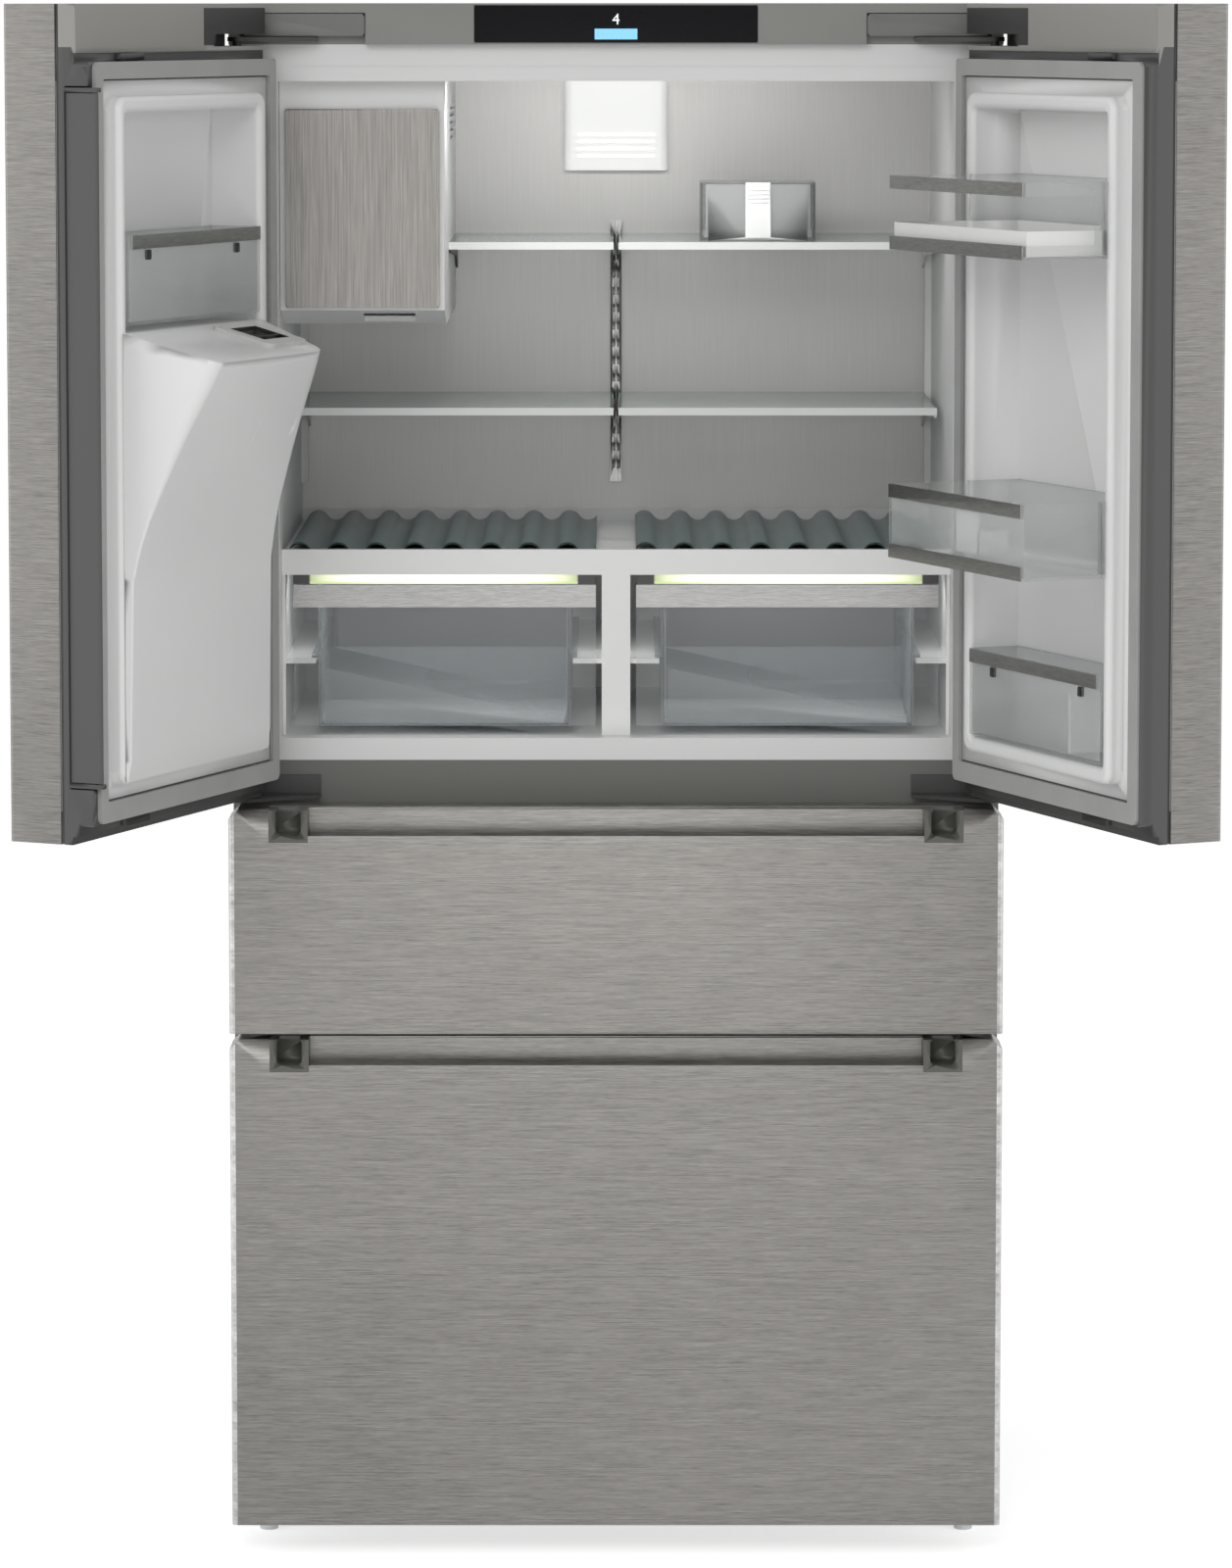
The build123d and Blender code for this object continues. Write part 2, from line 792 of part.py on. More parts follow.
# Sealed compressor on its mounting plate
with BuildPart() as compressor:
    seat = plate_level + compressor_grommet
    seam = seat + compressor_seam
    crown = seat + compressor_height - compressor_grommet
    edge = compressor_x + compressor_radius
    with BuildSketch(Plane.XZ.offset(-front_y - machine_line)) as can:
        with BuildLine():
            foot_line = Line((compressor_x, seat), (edge - 12, seat))
            base_arc = Spline(
                foot_line @ 1, (edge, seat + 22), tangents=[(1, 0.4), (0, 1)]
            )
            lower_wall = Line(base_arc @ 1, (edge, seam))
            Polyline(
                lower_wall @ 1,
                (edge + compressor_rim, seam),
                (edge + compressor_rim, seam + 6),
                (edge - 2, seam + 6),
            )
            dome = Spline(
                (edge - 2, seam + 6), (compressor_x, crown), tangents=[(0, 1), (-1, 0)]
            )
            Line(dome @ 1, foot_line @ 0)
        make_face()
    turning = Axis((compressor_x, front_y + machine_line, 0), (0, 0, 1))
    revolve(can.sketch, turning)
    plate_half = compressor_radius + 10
    plate_x = (compressor_x - plate_half, compressor_x + plate_half)
    plate_back = (machine_line - 45, machine_line + 45)
    block(cabinet, plate_x, plate_back, (seat - plate_sheet, seat), corner=10)
    with BuildSketch(cabinet.offset(plate_level)) as grommets:
        with Locations((compressor_x, machine_line)):
            with GridLocations(2 * compressor_radius, 70, 2, 2):
                Circle(grommet_radius)
    extrude(grommets.sketch, amount=compressor_grommet - plate_sheet)
    pipe = (compressor_x - plate_half - 6, compressor_x)
    cross_rod(cabinet, pipe, machine_line, seam - 6, tube_radius)
write(compressor, "compressor")

# Condenser: a row of upright fins on three by three tubes
with BuildPart() as condenser:
    condenser_depth = (machine_line - condenser_half_depth, machine_line + condenser_half_depth)
    fin_step = (condenser_x[1] - condenser_x[0]) / (condenser_fins - 1)
    fin_height = (plate_level, plate_level + condenser_height)
    for number in range(condenser_fins):
        fin = condenser_x[0] + number * fin_step
        block(cabinet, (fin - fin_sheet / 2, fin + fin_sheet / 2), condenser_depth, fin_height)
    tube_span = (condenser_x[0] - tube_overhang, condenser_x[1] + tube_overhang)
    for row in (-1, 0, 1):
        for level in (-1, 0, 1):
            tube_depth = machine_line + row * tube_pitch
            tube_height = (fin_height[0] + fin_height[1]) / 2 + level * tube_pitch
            cross_rod(cabinet, tube_span, tube_depth, tube_height, tube_radius)
write(condenser, "condenser")

# Fan that draws air through the condenser, on a motor with its bracket
fan_level = plate_level + fan_height
with BuildPart() as condenser_fan:
    cross_rod(cabinet, (fan_x - 8, fan_x + 10), machine_line, fan_level, fan_hub)
    blade_plane = Plane(
        origin=cabinet.from_local_coords((fan_x, machine_line, fan_level)),
        x_dir=cabinet.y_dir,
        z_dir=cabinet.x_dir,
    )
    with BuildSketch(blade_plane) as blades:
        with PolarLocations(0, fan_blades):
            with Locations((fan_radius / 2 + fan_hub / 2 - 1, 0)):
                RectangleRounded(fan_radius - fan_hub + 2, blade_width, fan_hub / 2)
    extrude(blades.sketch, amount=blade_sheet)
    cross_rod(cabinet, (fan_x, fan_x + motor_x[0] + 10), machine_line, fan_level, shaft_radius)
write(condenser_fan, "condenser_fan")

with BuildPart() as fan_motor:
    motor_span = (fan_x + motor_x[0], fan_x + motor_x[1])
    motor_middle = fan_x + (motor_x[0] + motor_x[1]) / 2 + 2
    cross_rod(cabinet, motor_span, machine_line, fan_level, motor_radius)
    bore = (fan_x, fan_x + motor_x[0] + 12)
    bore_radius = shaft_radius + running_fit
    cross_rod(cabinet, bore, machine_line, fan_level, bore_radius, Mode.SUBTRACT)
    stand_x = (motor_middle - 10, motor_middle + 10)
    stand_depth = (machine_line - stand_width / 2, machine_line + stand_width / 2)
    block(cabinet, stand_x, stand_depth, (plate_level, fan_level - motor_radius + 5))
    foot_x_span = (motor_middle - stand_foot[0] / 2, motor_middle + stand_foot[0] / 2)
    foot_span = (machine_line - stand_foot[1] / 2, machine_line + stand_foot[1] / 2)
    foot_z = (plate_level, plate_level + plate_sheet)
    block(cabinet, foot_x_span, foot_span, foot_z, corner=6)
write(fan_motor, "fan_motor")

# Grille over the machine space
with BuildPart() as rear_cover:
    cover_z = (casing_bottom - 4, machine_ceiling)
    cover_depth = (casing_back, casing_back + 2)
    panel(cabinet, (-inner_half + 2, inner_half - 2), cover_z, cover_depth, corner=8)
    cover_slots = int((2 * inner_half - 2 * cover_margin) / cover_slot_pitch)
    with BuildSketch(facing(cabinet, casing_back - 1)) as slots:
        for row in cover_slot_levels:
            with Locations((0, row)):
                with GridLocations(cover_slot_pitch, 1, cover_slots, 1):
                    SlotOverall(*cover_slot, 90)
    extrude(slots.sketch, amount=-4, mode=Mode.SUBTRACT)
write(rear_cover, "rear_cover")

with BuildPart() as power_inlet:
    inlet_x = (inner_half - inlet_inset - inlet_size[0], inner_half - inlet_inset)
    inlet_z = (inlet_bottom, inlet_bottom + inlet_size[1])
    body_depth = (casing_back + 1, casing_back + inlet_depth)
    panel(cabinet, inlet_x, inlet_z, body_depth, corner=5)
    socket_x = (inlet_x[0] + inlet_wall, inlet_x[1] - inlet_wall)
    socket_z = (inlet_z[0] + inlet_wall, inlet_z[1] - inlet_wall)
    socket_depth = (body_depth[0] + inlet_wall, body_depth[1] + 1)
    panel(cabinet, socket_x, socket_z, socket_depth, Mode.SUBTRACT, corner=4)
    with BuildSketch(facing(cabinet, body_depth[0])) as blades:
        with Locations(((inlet_x[0] + inlet_x[1]) / 2, (inlet_z[0] + inlet_z[1]) / 2)):
            with GridLocations(14, 1, 3, 1):
                Rectangle(2, 6)
    extrude(blades.sketch, amount=5 - inlet_depth)
write(power_inlet, "power_inlet")

# Slotted rails on the back and side walls, and the cantilever arms under each shelf
with BuildPart() as shelf_supports:
    rail_depth_span = (compartment_back - slot_rail_depth, compartment_back)
    block(cabinet, (-rail_half, rail_half), rail_depth_span, slot_rail_z)
    left_rail, right_rail = both(opening_half - side_rail_sheet, opening_half)
    block(cabinet, right_rail, side_rail_depth, slot_rail_z)
    block(cabinet, left_rail, side_rail_depth, (slot_rail_z[0], ice_bottom - side_rail_sheet))
    slots = int((slot_rail_z[1] - slot_rail_z[0]) / slot_pitch) - 1
    for number in range(slots):
        slot_z = slot_rail_z[0] + (number + 1) * slot_pitch
        slot_span = (slot_z - slot_half_height, slot_z + slot_half_height)
        slot_front = (rail_depth_span[0] - 1, rail_depth_span[1] - bracket_sheet)
        for span in both(*slot_x):
            block(cabinet, span, slot_front, slot_span, Mode.SUBTRACT)
    arms = (
        (shelf_inner_x, upper_shelf_z, rail_depth_span[0]),
        (-shelf_inner_x - bracket_sheet, upper_shelf_z, rail_depth_span[0]),
        (shelf_inner_x, lower_shelf_z, rail_depth_span[0]),
        (-shelf_inner_x - bracket_sheet, lower_shelf_z, rail_depth_span[0]),
        (shelf_outer_x - bracket_sheet, upper_shelf_z, shelf_back),
        (-upper_left_shelf_x, upper_shelf_z, shelf_back),
        (shelf_outer_x - bracket_sheet, lower_shelf_z, shelf_back),
        (-shelf_outer_x, lower_shelf_z, shelf_back),
    )
    for arm_x, shelf_top, arm_end in arms:
        under = shelf_top - shelf_glass
        arm_front = shelf_front + trim_depth + trim_lip
        arm_points = (
            (arm_front, under),
            (arm_front, under - bracket_nose),
            (arm_end - bracket_shoulder[0], under - bracket_shoulder[1]),
            (arm_end, under - bracket_drop),
            (arm_end, under),
        )
        side_profile(cabinet, (arm_x, arm_x + bracket_sheet), arm_points)
write(shelf_supports, "shelf_supports")

shelf_spans = (
    (shelf_inner_x, shelf_outer_x, upper_shelf_z),
    (-upper_left_shelf_x, -shelf_inner_x, upper_shelf_z),
    (shelf_inner_x, shelf_outer_x, lower_shelf_z),
    (-shelf_outer_x, -shelf_inner_x, lower_shelf_z),
)
with BuildPart() as glass_shelves:
    for left, right, shelf_top in shelf_spans:
        glass_depth = (shelf_front + trim_lip, shelf_back)
        glass_z = (shelf_top - shelf_glass, shelf_top)
        glass_x = (left + wall_clearance, right - wall_clearance)
        block(cabinet, glass_x, glass_depth, glass_z)
write(glass_shelves, "glass_shelves")

# Pale trim that wraps the front edge of each glass
with BuildPart() as shelf_trims:
    for left, right, shelf_top in shelf_spans:
        under = shelf_top - shelf_glass
        trim_points = (
            (shelf_front, shelf_top + 1),
            (shelf_front, shelf_top + 1 - trim_height),
            (shelf_front + trim_depth, shelf_top + 1 - trim_height),
            (shelf_front + trim_depth, under),
            (shelf_front + trim_lip, under),
            (shelf_front + trim_lip, shelf_top + 1),
        )
        side_profile(cabinet, (left, right), trim_points)
write(shelf_trims, "shelf_trims")

# Cover of the cold air duct and light, with a row of air slots
with BuildPart() as air_duct_cover:
    cover_depth = (compartment_back - duct_cover_depth, compartment_back)
    cover_z = (duct_cover_bottom, fridge_ceiling)
    panel(cabinet, (-duct_cover_half, duct_cover_half), cover_z, cover_depth)
    front_edges = air_duct_cover.edges().group_by(Axis.Y)[0]
    fillet(front_edges.filter_by(Axis.Z), duct_cover_corner)
    slot_half = duct_cover_half - duct_slot_inset
    for row in range(duct_slots):
        slot_z = duct_cover_bottom + duct_slot_inset + row * duct_slot_pitch
        slot_span = (slot_z, slot_z + duct_slot_height)
        slot_depth = (cover_depth[0] - 1, cover_depth[0] + 6)
        panel(cabinet, (-slot_half, slot_half), slot_span, slot_depth, Mode.SUBTRACT, corner=1.5)
write(air_duct_cover, "air_duct_cover")

# Divider over the fresh drawers: floor plate, front bar, centre column and drawer ledges
with BuildPart() as divider_frame:
    reach = opening_half - wall_clearance
    plate_z = (divider_z[1] - divider_sheet, divider_z[1])
    block(cabinet, (-reach, reach), (divider_front, divider_back), plate_z)
    bar_z = (divider_z[0] - divider_lips[0], divider_z[1] + divider_lips[1])
    block(cabinet, (-reach, reach), (divider_front, divider_front + divider_bar), bar_z)
    column_z = (fridge_floor, plate_z[0])
    block(cabinet, (-column_half, column_half), (divider_front, divider_back), column_z)
    behind = divider_front + ledge_setback
    for span in both(reach - post_sheet, reach):
        block(cabinet, span, (behind, divider_back), column_z)
    ledge_z = (fresh_rib_z - ledge_height, fresh_rib_z)
    for span in both(column_half, fresh_x[0] - ledge_gap):
        block(cabinet, span, (behind, fresh_back), ledge_z)
    for span in both(fresh_x[1] + ledge_gap, reach):
        block(cabinet, span, (behind, fresh_back), ledge_z)
write(divider_frame, "divider_frame")

# Mats in round waves that lie on the divider plate and keep bottles apart
with BuildPart() as bottle_mats:
    for span in both(*mat_x):
        waves = int((span[1] - span[0]) / mat_pitch)
        pitch = (span[1] - span[0]) / waves
        middle = divider_z[1] + mat_wave / 2
        with BuildSketch(facing(cabinet, divider_front + mat_setback)) as section:
            with BuildLine():
                for level in (middle, middle + mat_sheet):
                    for number in range(waves):
                        start = span[0] + number * pitch
                        for shift, rise in ((0, 1), (pitch / 2, -1)):
                            ThreePointArc(
                                (start + shift, level),
                                (start + shift + pitch / 4, level + rise * mat_wave / 2),
                                (start + shift + pitch / 2, level),
                            )
                for edge in span:
                    Line((edge, middle), (edge, middle + mat_sheet))
            make_face()
        extrude(section.sketch, amount=-(fresh_back - divider_front - mat_setback))
write(bottle_mats, "bottle_mats")

with BuildPart() as led_strips:
    led_top = divider_z[0] - divider_lips[0]
    for span in both(*led_x):
        led_depth_span = (divider_front + 1, divider_front + 1 + led_depth)
        block(cabinet, span, led_depth_span, (led_top - led_height, led_top))
write(led_strips, "led_strips")


def fresh_drawer(side):
    """Clear drawer: a wide front plate with a steel strip, and a body with ribs on the ledges."""
    with BuildPart() as drawer:
        depth = (divider_front + 2, fresh_back)
        body_x = (side * fresh_x[0], side * fresh_x[1])
        block(cabinet, body_x, depth, fresh_z, corner=fresh_corner)
        front_x = (side * fresh_front_x[0], side * fresh_front_x[1])
        panel(cabinet, front_x, fresh_z, (depth[0], depth[0] + fresh_wall))
        hollow_x = (side * (fresh_x[0] + fresh_wall), side * (fresh_x[1] - fresh_wall))
        hollow_depth = (depth[0] + fresh_wall, depth[1] - fresh_wall)
        hollow_z = (fresh_z[0] + fresh_wall, fresh_z[1] + 1)
        inner_corner = fresh_corner - fresh_wall
        block(cabinet, hollow_x, hollow_depth, hollow_z, Mode.SUBTRACT, corner=inner_corner)
        partition = (fresh_partition_depth, fresh_partition_depth + fresh_wall)
        partition_z = (fresh_z[0], fresh_z[0] + fresh_partition_height)
        block(cabinet, body_x, partition, partition_z)
        rib_z = (fresh_rib_z + fresh_play, fresh_rib_z + fresh_play + fresh_rib_sheet)
        rib_depth = (depth[0] + 12, depth[1] - 10)
        for start, direction in ((fresh_x[0], -1), (fresh_x[1], 1)):
            rib = (side * start, side * (start + direction * fresh_rib))
            block(cabinet, rib, rib_depth, rib_z)
        strip_z = (fresh_z[1] - fresh_strip_height, fresh_z[1])
        panel(cabinet, front_x, strip_z, (depth[0] - strip_sheet, depth[0]))
    return drawer


write(fresh_drawer(-1), "left_fresh_drawer")
write(fresh_drawer(1), "right_fresh_drawer")

# Ice maker: insulated box with a sloping lower front that meets the chute in the door
duct_x = (-half + duct_u[0], -half + duct_u[1])
ice_profile = (
    (ice_front, ice_chamfer_top),
    (ice_chamfer_back, ice_bottom),
    (compartment_back, ice_bottom),
    (compartment_back, ice_top),
    (ice_front, ice_top),
)
with BuildPart() as ice_maker_housing:
    side_profile(cabinet, ice_x, ice_profile)
    room = (ice_x[0] + ice_wall, ice_x[1] - ice_wall)
    side_profile(cabinet, room, ice_profile, Mode.SUBTRACT, grow=-ice_wall)
    doorway = (ice_panel_x[0] + 3, ice_panel_x[1] - 3)
    doorway_z = (ice_panel_z[0] + 2, ice_panel_z[1] - 6)
    panel(cabinet, doorway, doorway_z, (ice_front - 1, ice_front + 20), Mode.SUBTRACT)
    block(cabinet, duct_x, duct_d, (ice_bottom - 10, ice_bottom + 20), Mode.SUBTRACT)
    for row in range(ice_vents):
        vent_bottom = ice_vent_z + row * ice_vent_pitch
        vent_z = (vent_bottom, vent_bottom + ice_vent_height)
        vent_x = (ice_x[1] - ice_wall - 1, ice_x[1] + 1)
        block(cabinet, vent_x, ice_vent_depth, vent_z, Mode.SUBTRACT)
write(ice_maker_housing, "ice_maker_housing")

# Ice bin with its steel front, which slides out of the box
with BuildPart() as ice_bin:
    bin_x = (doorway[0] + ice_bin_play, doorway[1] - ice_bin_play)
    bin_z = (doorway_z[0] + ice_bin_play, ice_bin_top)
    panel_back = ice_front - wall_clearance
    block(cabinet, bin_x, (panel_back, ice_bin_back), bin_z)
    hollow = (bin_x[0] + ice_bin_wall, bin_x[1] - ice_bin_wall)
    hollow_depth = (ice_front + ice_bin_wall, ice_bin_back - ice_bin_wall)
    hollow_z = (bin_z[0] + ice_bin_wall, bin_z[1] + 1)
    block(cabinet, hollow, hollow_depth, hollow_z, Mode.SUBTRACT, corner=8)
    block(cabinet, duct_x, duct_d, (bin_z[0] - 1, hollow_z[0] + 1), Mode.SUBTRACT)
    panel(cabinet, ice_panel_x, ice_panel_z, (ice_panel_front, panel_back), corner=4)
write(ice_bin, "ice_bin")

# Covered dish that stands on the upper right shelf
with BuildPart() as covered_dish:
    dish_z = (upper_shelf_z, upper_shelf_z + dish_base)
    block(cabinet, dish_x, dish_depth, dish_z, corner=dish_corner)
    tray_x = (dish_x[0] + 4, dish_x[1] - 4)
    tray_depth = (dish_depth[0] + 4, dish_depth[1] - 4)
    block(cabinet, tray_x, tray_depth, (dish_z[0] + 4, dish_z[1] + 1), Mode.SUBTRACT, corner=7)
    lid_z = (dish_z[1], upper_shelf_z + dish_height)
    block(cabinet, dish_x, dish_depth, lid_z, corner=dish_corner)
    lid_x = (dish_x[0] + dish_wall, dish_x[1] - dish_wall)
    lid_depth = (dish_depth[0] + dish_wall, dish_depth[1] - dish_wall)
    lid_room = (lid_z[0] - 1, lid_z[1] - dish_wall)
    block(cabinet, lid_x, lid_depth, lid_room, Mode.SUBTRACT, corner=8)
    dish_middle = (dish_x[0] + dish_x[1]) / 2
    slider_x = (dish_middle - dish_slider_width / 2, dish_middle + dish_slider_width / 2)
    slider_z = (dish_z[0] + 3, lid_z[1])
    slider_depth = (dish_depth[0] - dish_slider_rise, dish_depth[0])
    panel(cabinet, slider_x, slider_z, slider_depth, corner=1)
    for number in range(dish_slider_ribs):
        rib_z = lid_z[1] - 10 - number * 5
        rib_depth = (slider_depth[0] - 1, slider_depth[0])
        panel(cabinet, (slider_x[0] + 3, slider_x[1] - 3), (rib_z, rib_z + 2), rib_depth)
write(covered_dish, "covered_dish")


def hinge_pocket(frame, side):
    """Pocket in a door's header that clears the hinge arm as the door swings."""
    pocket = (
        (-side, pin_depth - 2 * arm_radius),
        (side * 18, pin_depth - 1.6 * arm_radius),
        (side * pocket_reach, header_back + 1),
        (-side, header_back + 1),
    )
    plan_profile(frame, pocket_levels, pocket, Mode.SUBTRACT)


def niche_opening(frame, mode, grow, depth):
    """Space of the dispenser niche, grown by the thickness of its walls."""
    span = (niche_u[0] - grow, niche_u[1] + grow)
    height = (niche_z[0] - grow, niche_z[1] + grow)
    panel(frame, span, height, depth, mode, corner=niche_corner)


def chute_duct(frame, mode=Mode.SUBTRACT):
    """Slanted duct that takes ice from the collar down to the niche."""
    duct = (
        (duct_d[0], chute_slope_start + chute_edge_room),
        (duct_d[1], chute_slope_start + chute_edge_room),
        (duct_d[1], duct_bend),
        (niche_back - 2, duct_mouth[0]),
        (niche_back - 2, duct_mouth[1]),
        (duct_d[0], duct_bend + 24),
    )
    side_profile(frame, duct_u, duct, mode)


def door_shell(frame, side, with_niche=False):
    """Steel front sheet that wraps both upright edges of the door."""
    with BuildPart() as shell:
        with BuildSketch(frame.offset(door_bottom)) as outline:
            with Locations((side * door_width / 2, shell_depth / 2)):
                Rectangle(door_width, shell_depth)
            fillet(outline.vertices().group_by(Axis.Y)[0], edge_radius)
            with Locations((side * door_width / 2, shell_depth / 2 + door_sheet)):
                Rectangle(door_width - 2 * door_sheet, shell_depth, mode=Mode.SUBTRACT)
        extrude(outline.sketch, amount=door_top - door_bottom)
        hinge_pocket(frame, side)
        if with_niche:
            niche_opening(frame, Mode.SUBTRACT, 0, (-1, door_sheet + 1))
    return shell


def inner_frame(frame, side, flap_recess=False):
    """Plastic frame behind the shell, in one piece with the door's end caps."""
    with BuildPart() as ring:
        across = (0, side * door_width)
        inset = (side * groove_inset, side * (door_width - groove_inset))
        groove = (shell_depth, shell_depth + groove_depth)
        panel(frame, inset, (door_bottom, door_top), groove)
        panel(frame, across, ledge_levels, (groove[1], ledge_back))
        panel(frame, across, frame_levels, (groove[1], frame_back), corner=5)
        panel(frame, across, (ledge_levels[1], door_top), (groove[1], header_back))
        panel(frame, across, (door_bottom, ledge_levels[0]), (groove[1], ledge_back - 8))
        for ledge in ((frame_levels[1], ledge_levels[1]), (ledge_levels[0], frame_levels[0])):
            catch_z = (ledge[0] + 1, ledge[1] - 1)
            catch_depth = (ledge_back, ledge_back + catch_rise)
            panel(frame, (side * catch_u[0], side * catch_u[1]), catch_z, catch_depth, corner=2)
            with BuildSketch(facing(frame, ledge_back + catch_rise)) as eye:
                with Locations((side * (catch_u[0] + catch_eye_radius), sum(ledge) / 2)):
                    Circle(catch_eye_radius - 1)
            extrude(eye.sketch, amount=2)
        within = (side * door_sheet, side * (door_width - door_sheet))
        block(frame, within, (door_sheet, shell_depth), (cap_levels[1], door_top))
        block(frame, within, (door_sheet, shell_depth), (door_bottom, cap_levels[0]))
        window = (side * window_u[0], side * window_u[1])
        panel(frame, window, window_z, (shell_depth - 1, frame_back + 1), Mode.SUBTRACT)
        hinge_pocket(frame, side)
        hole = pin_radius + running_fit
        top_hole = (pocket_levels[0] - pin_grip - 1, pocket_levels[0] + 1)
        upright_rod(frame, side * pin_inset, pin_depth, top_hole, hole, Mode.SUBTRACT)
        low_hole = (door_bottom - 1, door_bottom + pin_grip + 1)
        upright_rod(frame, side * pin_inset, pin_depth, low_hole, hole, Mode.SUBTRACT)
        if flap_recess:
            folded = (mullion_recess_u, door_width + 1)
            folded_depth = (mullion_pivot[1] - mullion_length - 1, frame_back + 1)
            folded_z = (mullion_z[0] - mullion_bracket, mullion_z[1] + mullion_bracket)
            block(frame, folded, folded_depth, folded_z, Mode.SUBTRACT)
            for ear in ear_levels:
                ear_u = (mullion_recess_u - 0.5, door_width - 1)
                ear_depth = (folded_depth[0], mullion_pivot[1] + 4)
                block(frame, ear_u, ear_depth, ear)
                pin_hole = mullion_pin_radius + running_fit
                upright_rod(frame, *mullion_pivot, ear, pin_hole, Mode.SUBTRACT)
    return ring


def door_gasket(frame, side, free_u):
    """Soft seal round the back of the inner frame."""
    with BuildPart() as gasket:
        depth = (frame_back, sealing_depth - seal_gap)
        panel(frame, (side * gasket_u[0], side * free_u[1]), gasket_z, depth, corner=8)
        inside = (side * gasket_u[1], side * free_u[0])
        inside_z = (gasket_z[0] + gasket_band + 4, gasket_z[1] - gasket_band)
        cut = (frame_back - 1, sealing_depth)
        panel(frame, inside, inside_z, cut, Mode.SUBTRACT, corner=3)
    return gasket


def door_liner(frame, side, with_niche=False):
    """Foamed liner: the raised dyke stands round the recess that holds the racks."""
    with BuildPart() as liner:
        within = (side * door_sheet, side * (door_width - door_sheet))
        block(frame, within, (door_sheet, shell_depth), cap_levels)
        window = (side * window_u[0], side * window_u[1])
        panel(frame, window, window_z, (shell_depth, frame_back))
        dyke = (side * dyke_u[0], side * dyke_u[1])
        panel(frame, dyke, dyke_z, (frame_back, dyke_back), corner=16)
        recess = (side * (dyke_u[0] + dyke_band), side * (dyke_u[1] - dyke_band + 2))
        recess_z = (dyke_z[0] + dyke_band, dyke_z[1] - dyke_band)
        recess_depth = (recess_floor, dyke_back + 1)
        panel(frame, recess, recess_z, recess_depth, Mode.SUBTRACT, corner=6)
        crown = [
            edge
            for edge in liner.edges()
            if abs(frame.to_local_coords(edge.center()).Y - dyke_back) < 0.01
        ]
        fillet(crown, dyke_radius)
        if with_niche:
            niche_opening(frame, Mode.SUBTRACT, niche_wall, (0, niche_back + niche_wall))
            chute_duct(frame)
    return liner


ear_levels = (
    (mullion_z[0] - mullion_bracket + 2, mullion_z[0] - 1),
    (mullion_z[1] + 1, mullion_z[1] + mullion_bracket - 2),
)

write(door_shell(left_door, 1, True), "left_door_shell")
write(door_shell(right_door, -1), "right_door_shell")
write(inner_frame(left_door, 1, True), "left_door_frame")
write(inner_frame(right_door, -1), "right_door_frame")
write(door_gasket(left_door, 1, left_gasket_free_u), "left_door_gasket")
write(door_gasket(right_door, -1, gasket_free_u), "right_door_gasket")
write(door_liner(left_door, 1, True), "left_door_liner")
write(door_liner(right_door, -1), "right_door_liner")


def chute_top(depth):
    """Height of the housing's sloping top at a depth into the door."""
    return chute_slope_start - chute_slope * (depth - dyke_back)


def chute_section(height, swell):
    """Plan of the housing at one height, standing out from the dyke by its swell."""
    share = swell / chute_swells[-1][1]
    with BuildSketch(left_door.offset(height)) as section:
        with BuildLine():
            Polyline(
                (dyke_u[0] + 2 + 14 * share, dyke_back),
                (dyke_u[0] + 8 + 84 * share, dyke_back + swell),
                (dyke_u[1] - 6 - 4 * share, dyke_back + swell),
                (dyke_u[1] - 4, dyke_back),
                close=True,
            )
        make_face()
        for end, roundness in ((-1, 0.12), (0, 0.36)):
            corner = section.vertices().group_by(Axis.Y)[-1].sort_by(Axis.X)[end]
            fillet(corner, roundness * swell + 1)
    return section.sketch


# Moulded housing of the ice chute: flush low down, swelling out in one curve to the top
with BuildPart() as chute_housing:
    curved = [
        chute_section(chute_slope_start - drop, swell) for drop, swell in chute_swells
    ]
    straight = [
        chute_section(chute_foot, 1.5),
        chute_section(chute_foot + 24, 6),
        chute_section(chute_slope_start - chute_swells[0][0], chute_swells[0][1]),
    ]
    loft(straight, ruled=True)
    loft(curved)
    root_u = (dyke_u[0] + dyke_band + 1, dyke_u[1] - dyke_band + 1)
    root_z = (dyke_z[0] + dyke_band + 1, chute_slope_start + chute_edge_room)
    panel(left_door, root_u, root_z, (recess_floor, dyke_back), corner=6)
    beyond = dyke_back + chute_swells[-1][1] + 10
    over = chute_slope_start + 2 * chute_edge_room
    above = (
        (recess_floor - 1, chute_slope_start),
        (dyke_back, chute_slope_start),
        (beyond, chute_top(beyond)),
        (beyond, over),
        (recess_floor - 1, over),
    )
    side_profile(left_door, (0, door_width), above, Mode.SUBTRACT)
    niche_opening(left_door, Mode.SUBTRACT, niche_wall, (0, niche_back + niche_wall))
    chute_duct(left_door)
write(chute_housing, "chute_housing")

# Soft collar round the mouth of the duct
with BuildPart() as chute_collar:
    collar_d = (duct_d[0] - collar_border, duct_d[1] + collar_border)
    lip = (
        (collar_d[0], chute_top(collar_d[0])),
        (collar_d[1], chute_top(collar_d[1])),
        (collar_d[1], chute_top(collar_d[1]) + collar_rise),
        (collar_d[0], chute_top(collar_d[0]) + collar_rise),
    )
    side_profile(left_door, (duct_u[0] - collar_border, duct_u[1] + collar_border), lip)
    fillet(chute_collar.edges().filter_by(Axis.Z), collar_corner)
    chute_duct(left_door)
write(chute_collar, "chute_collar")

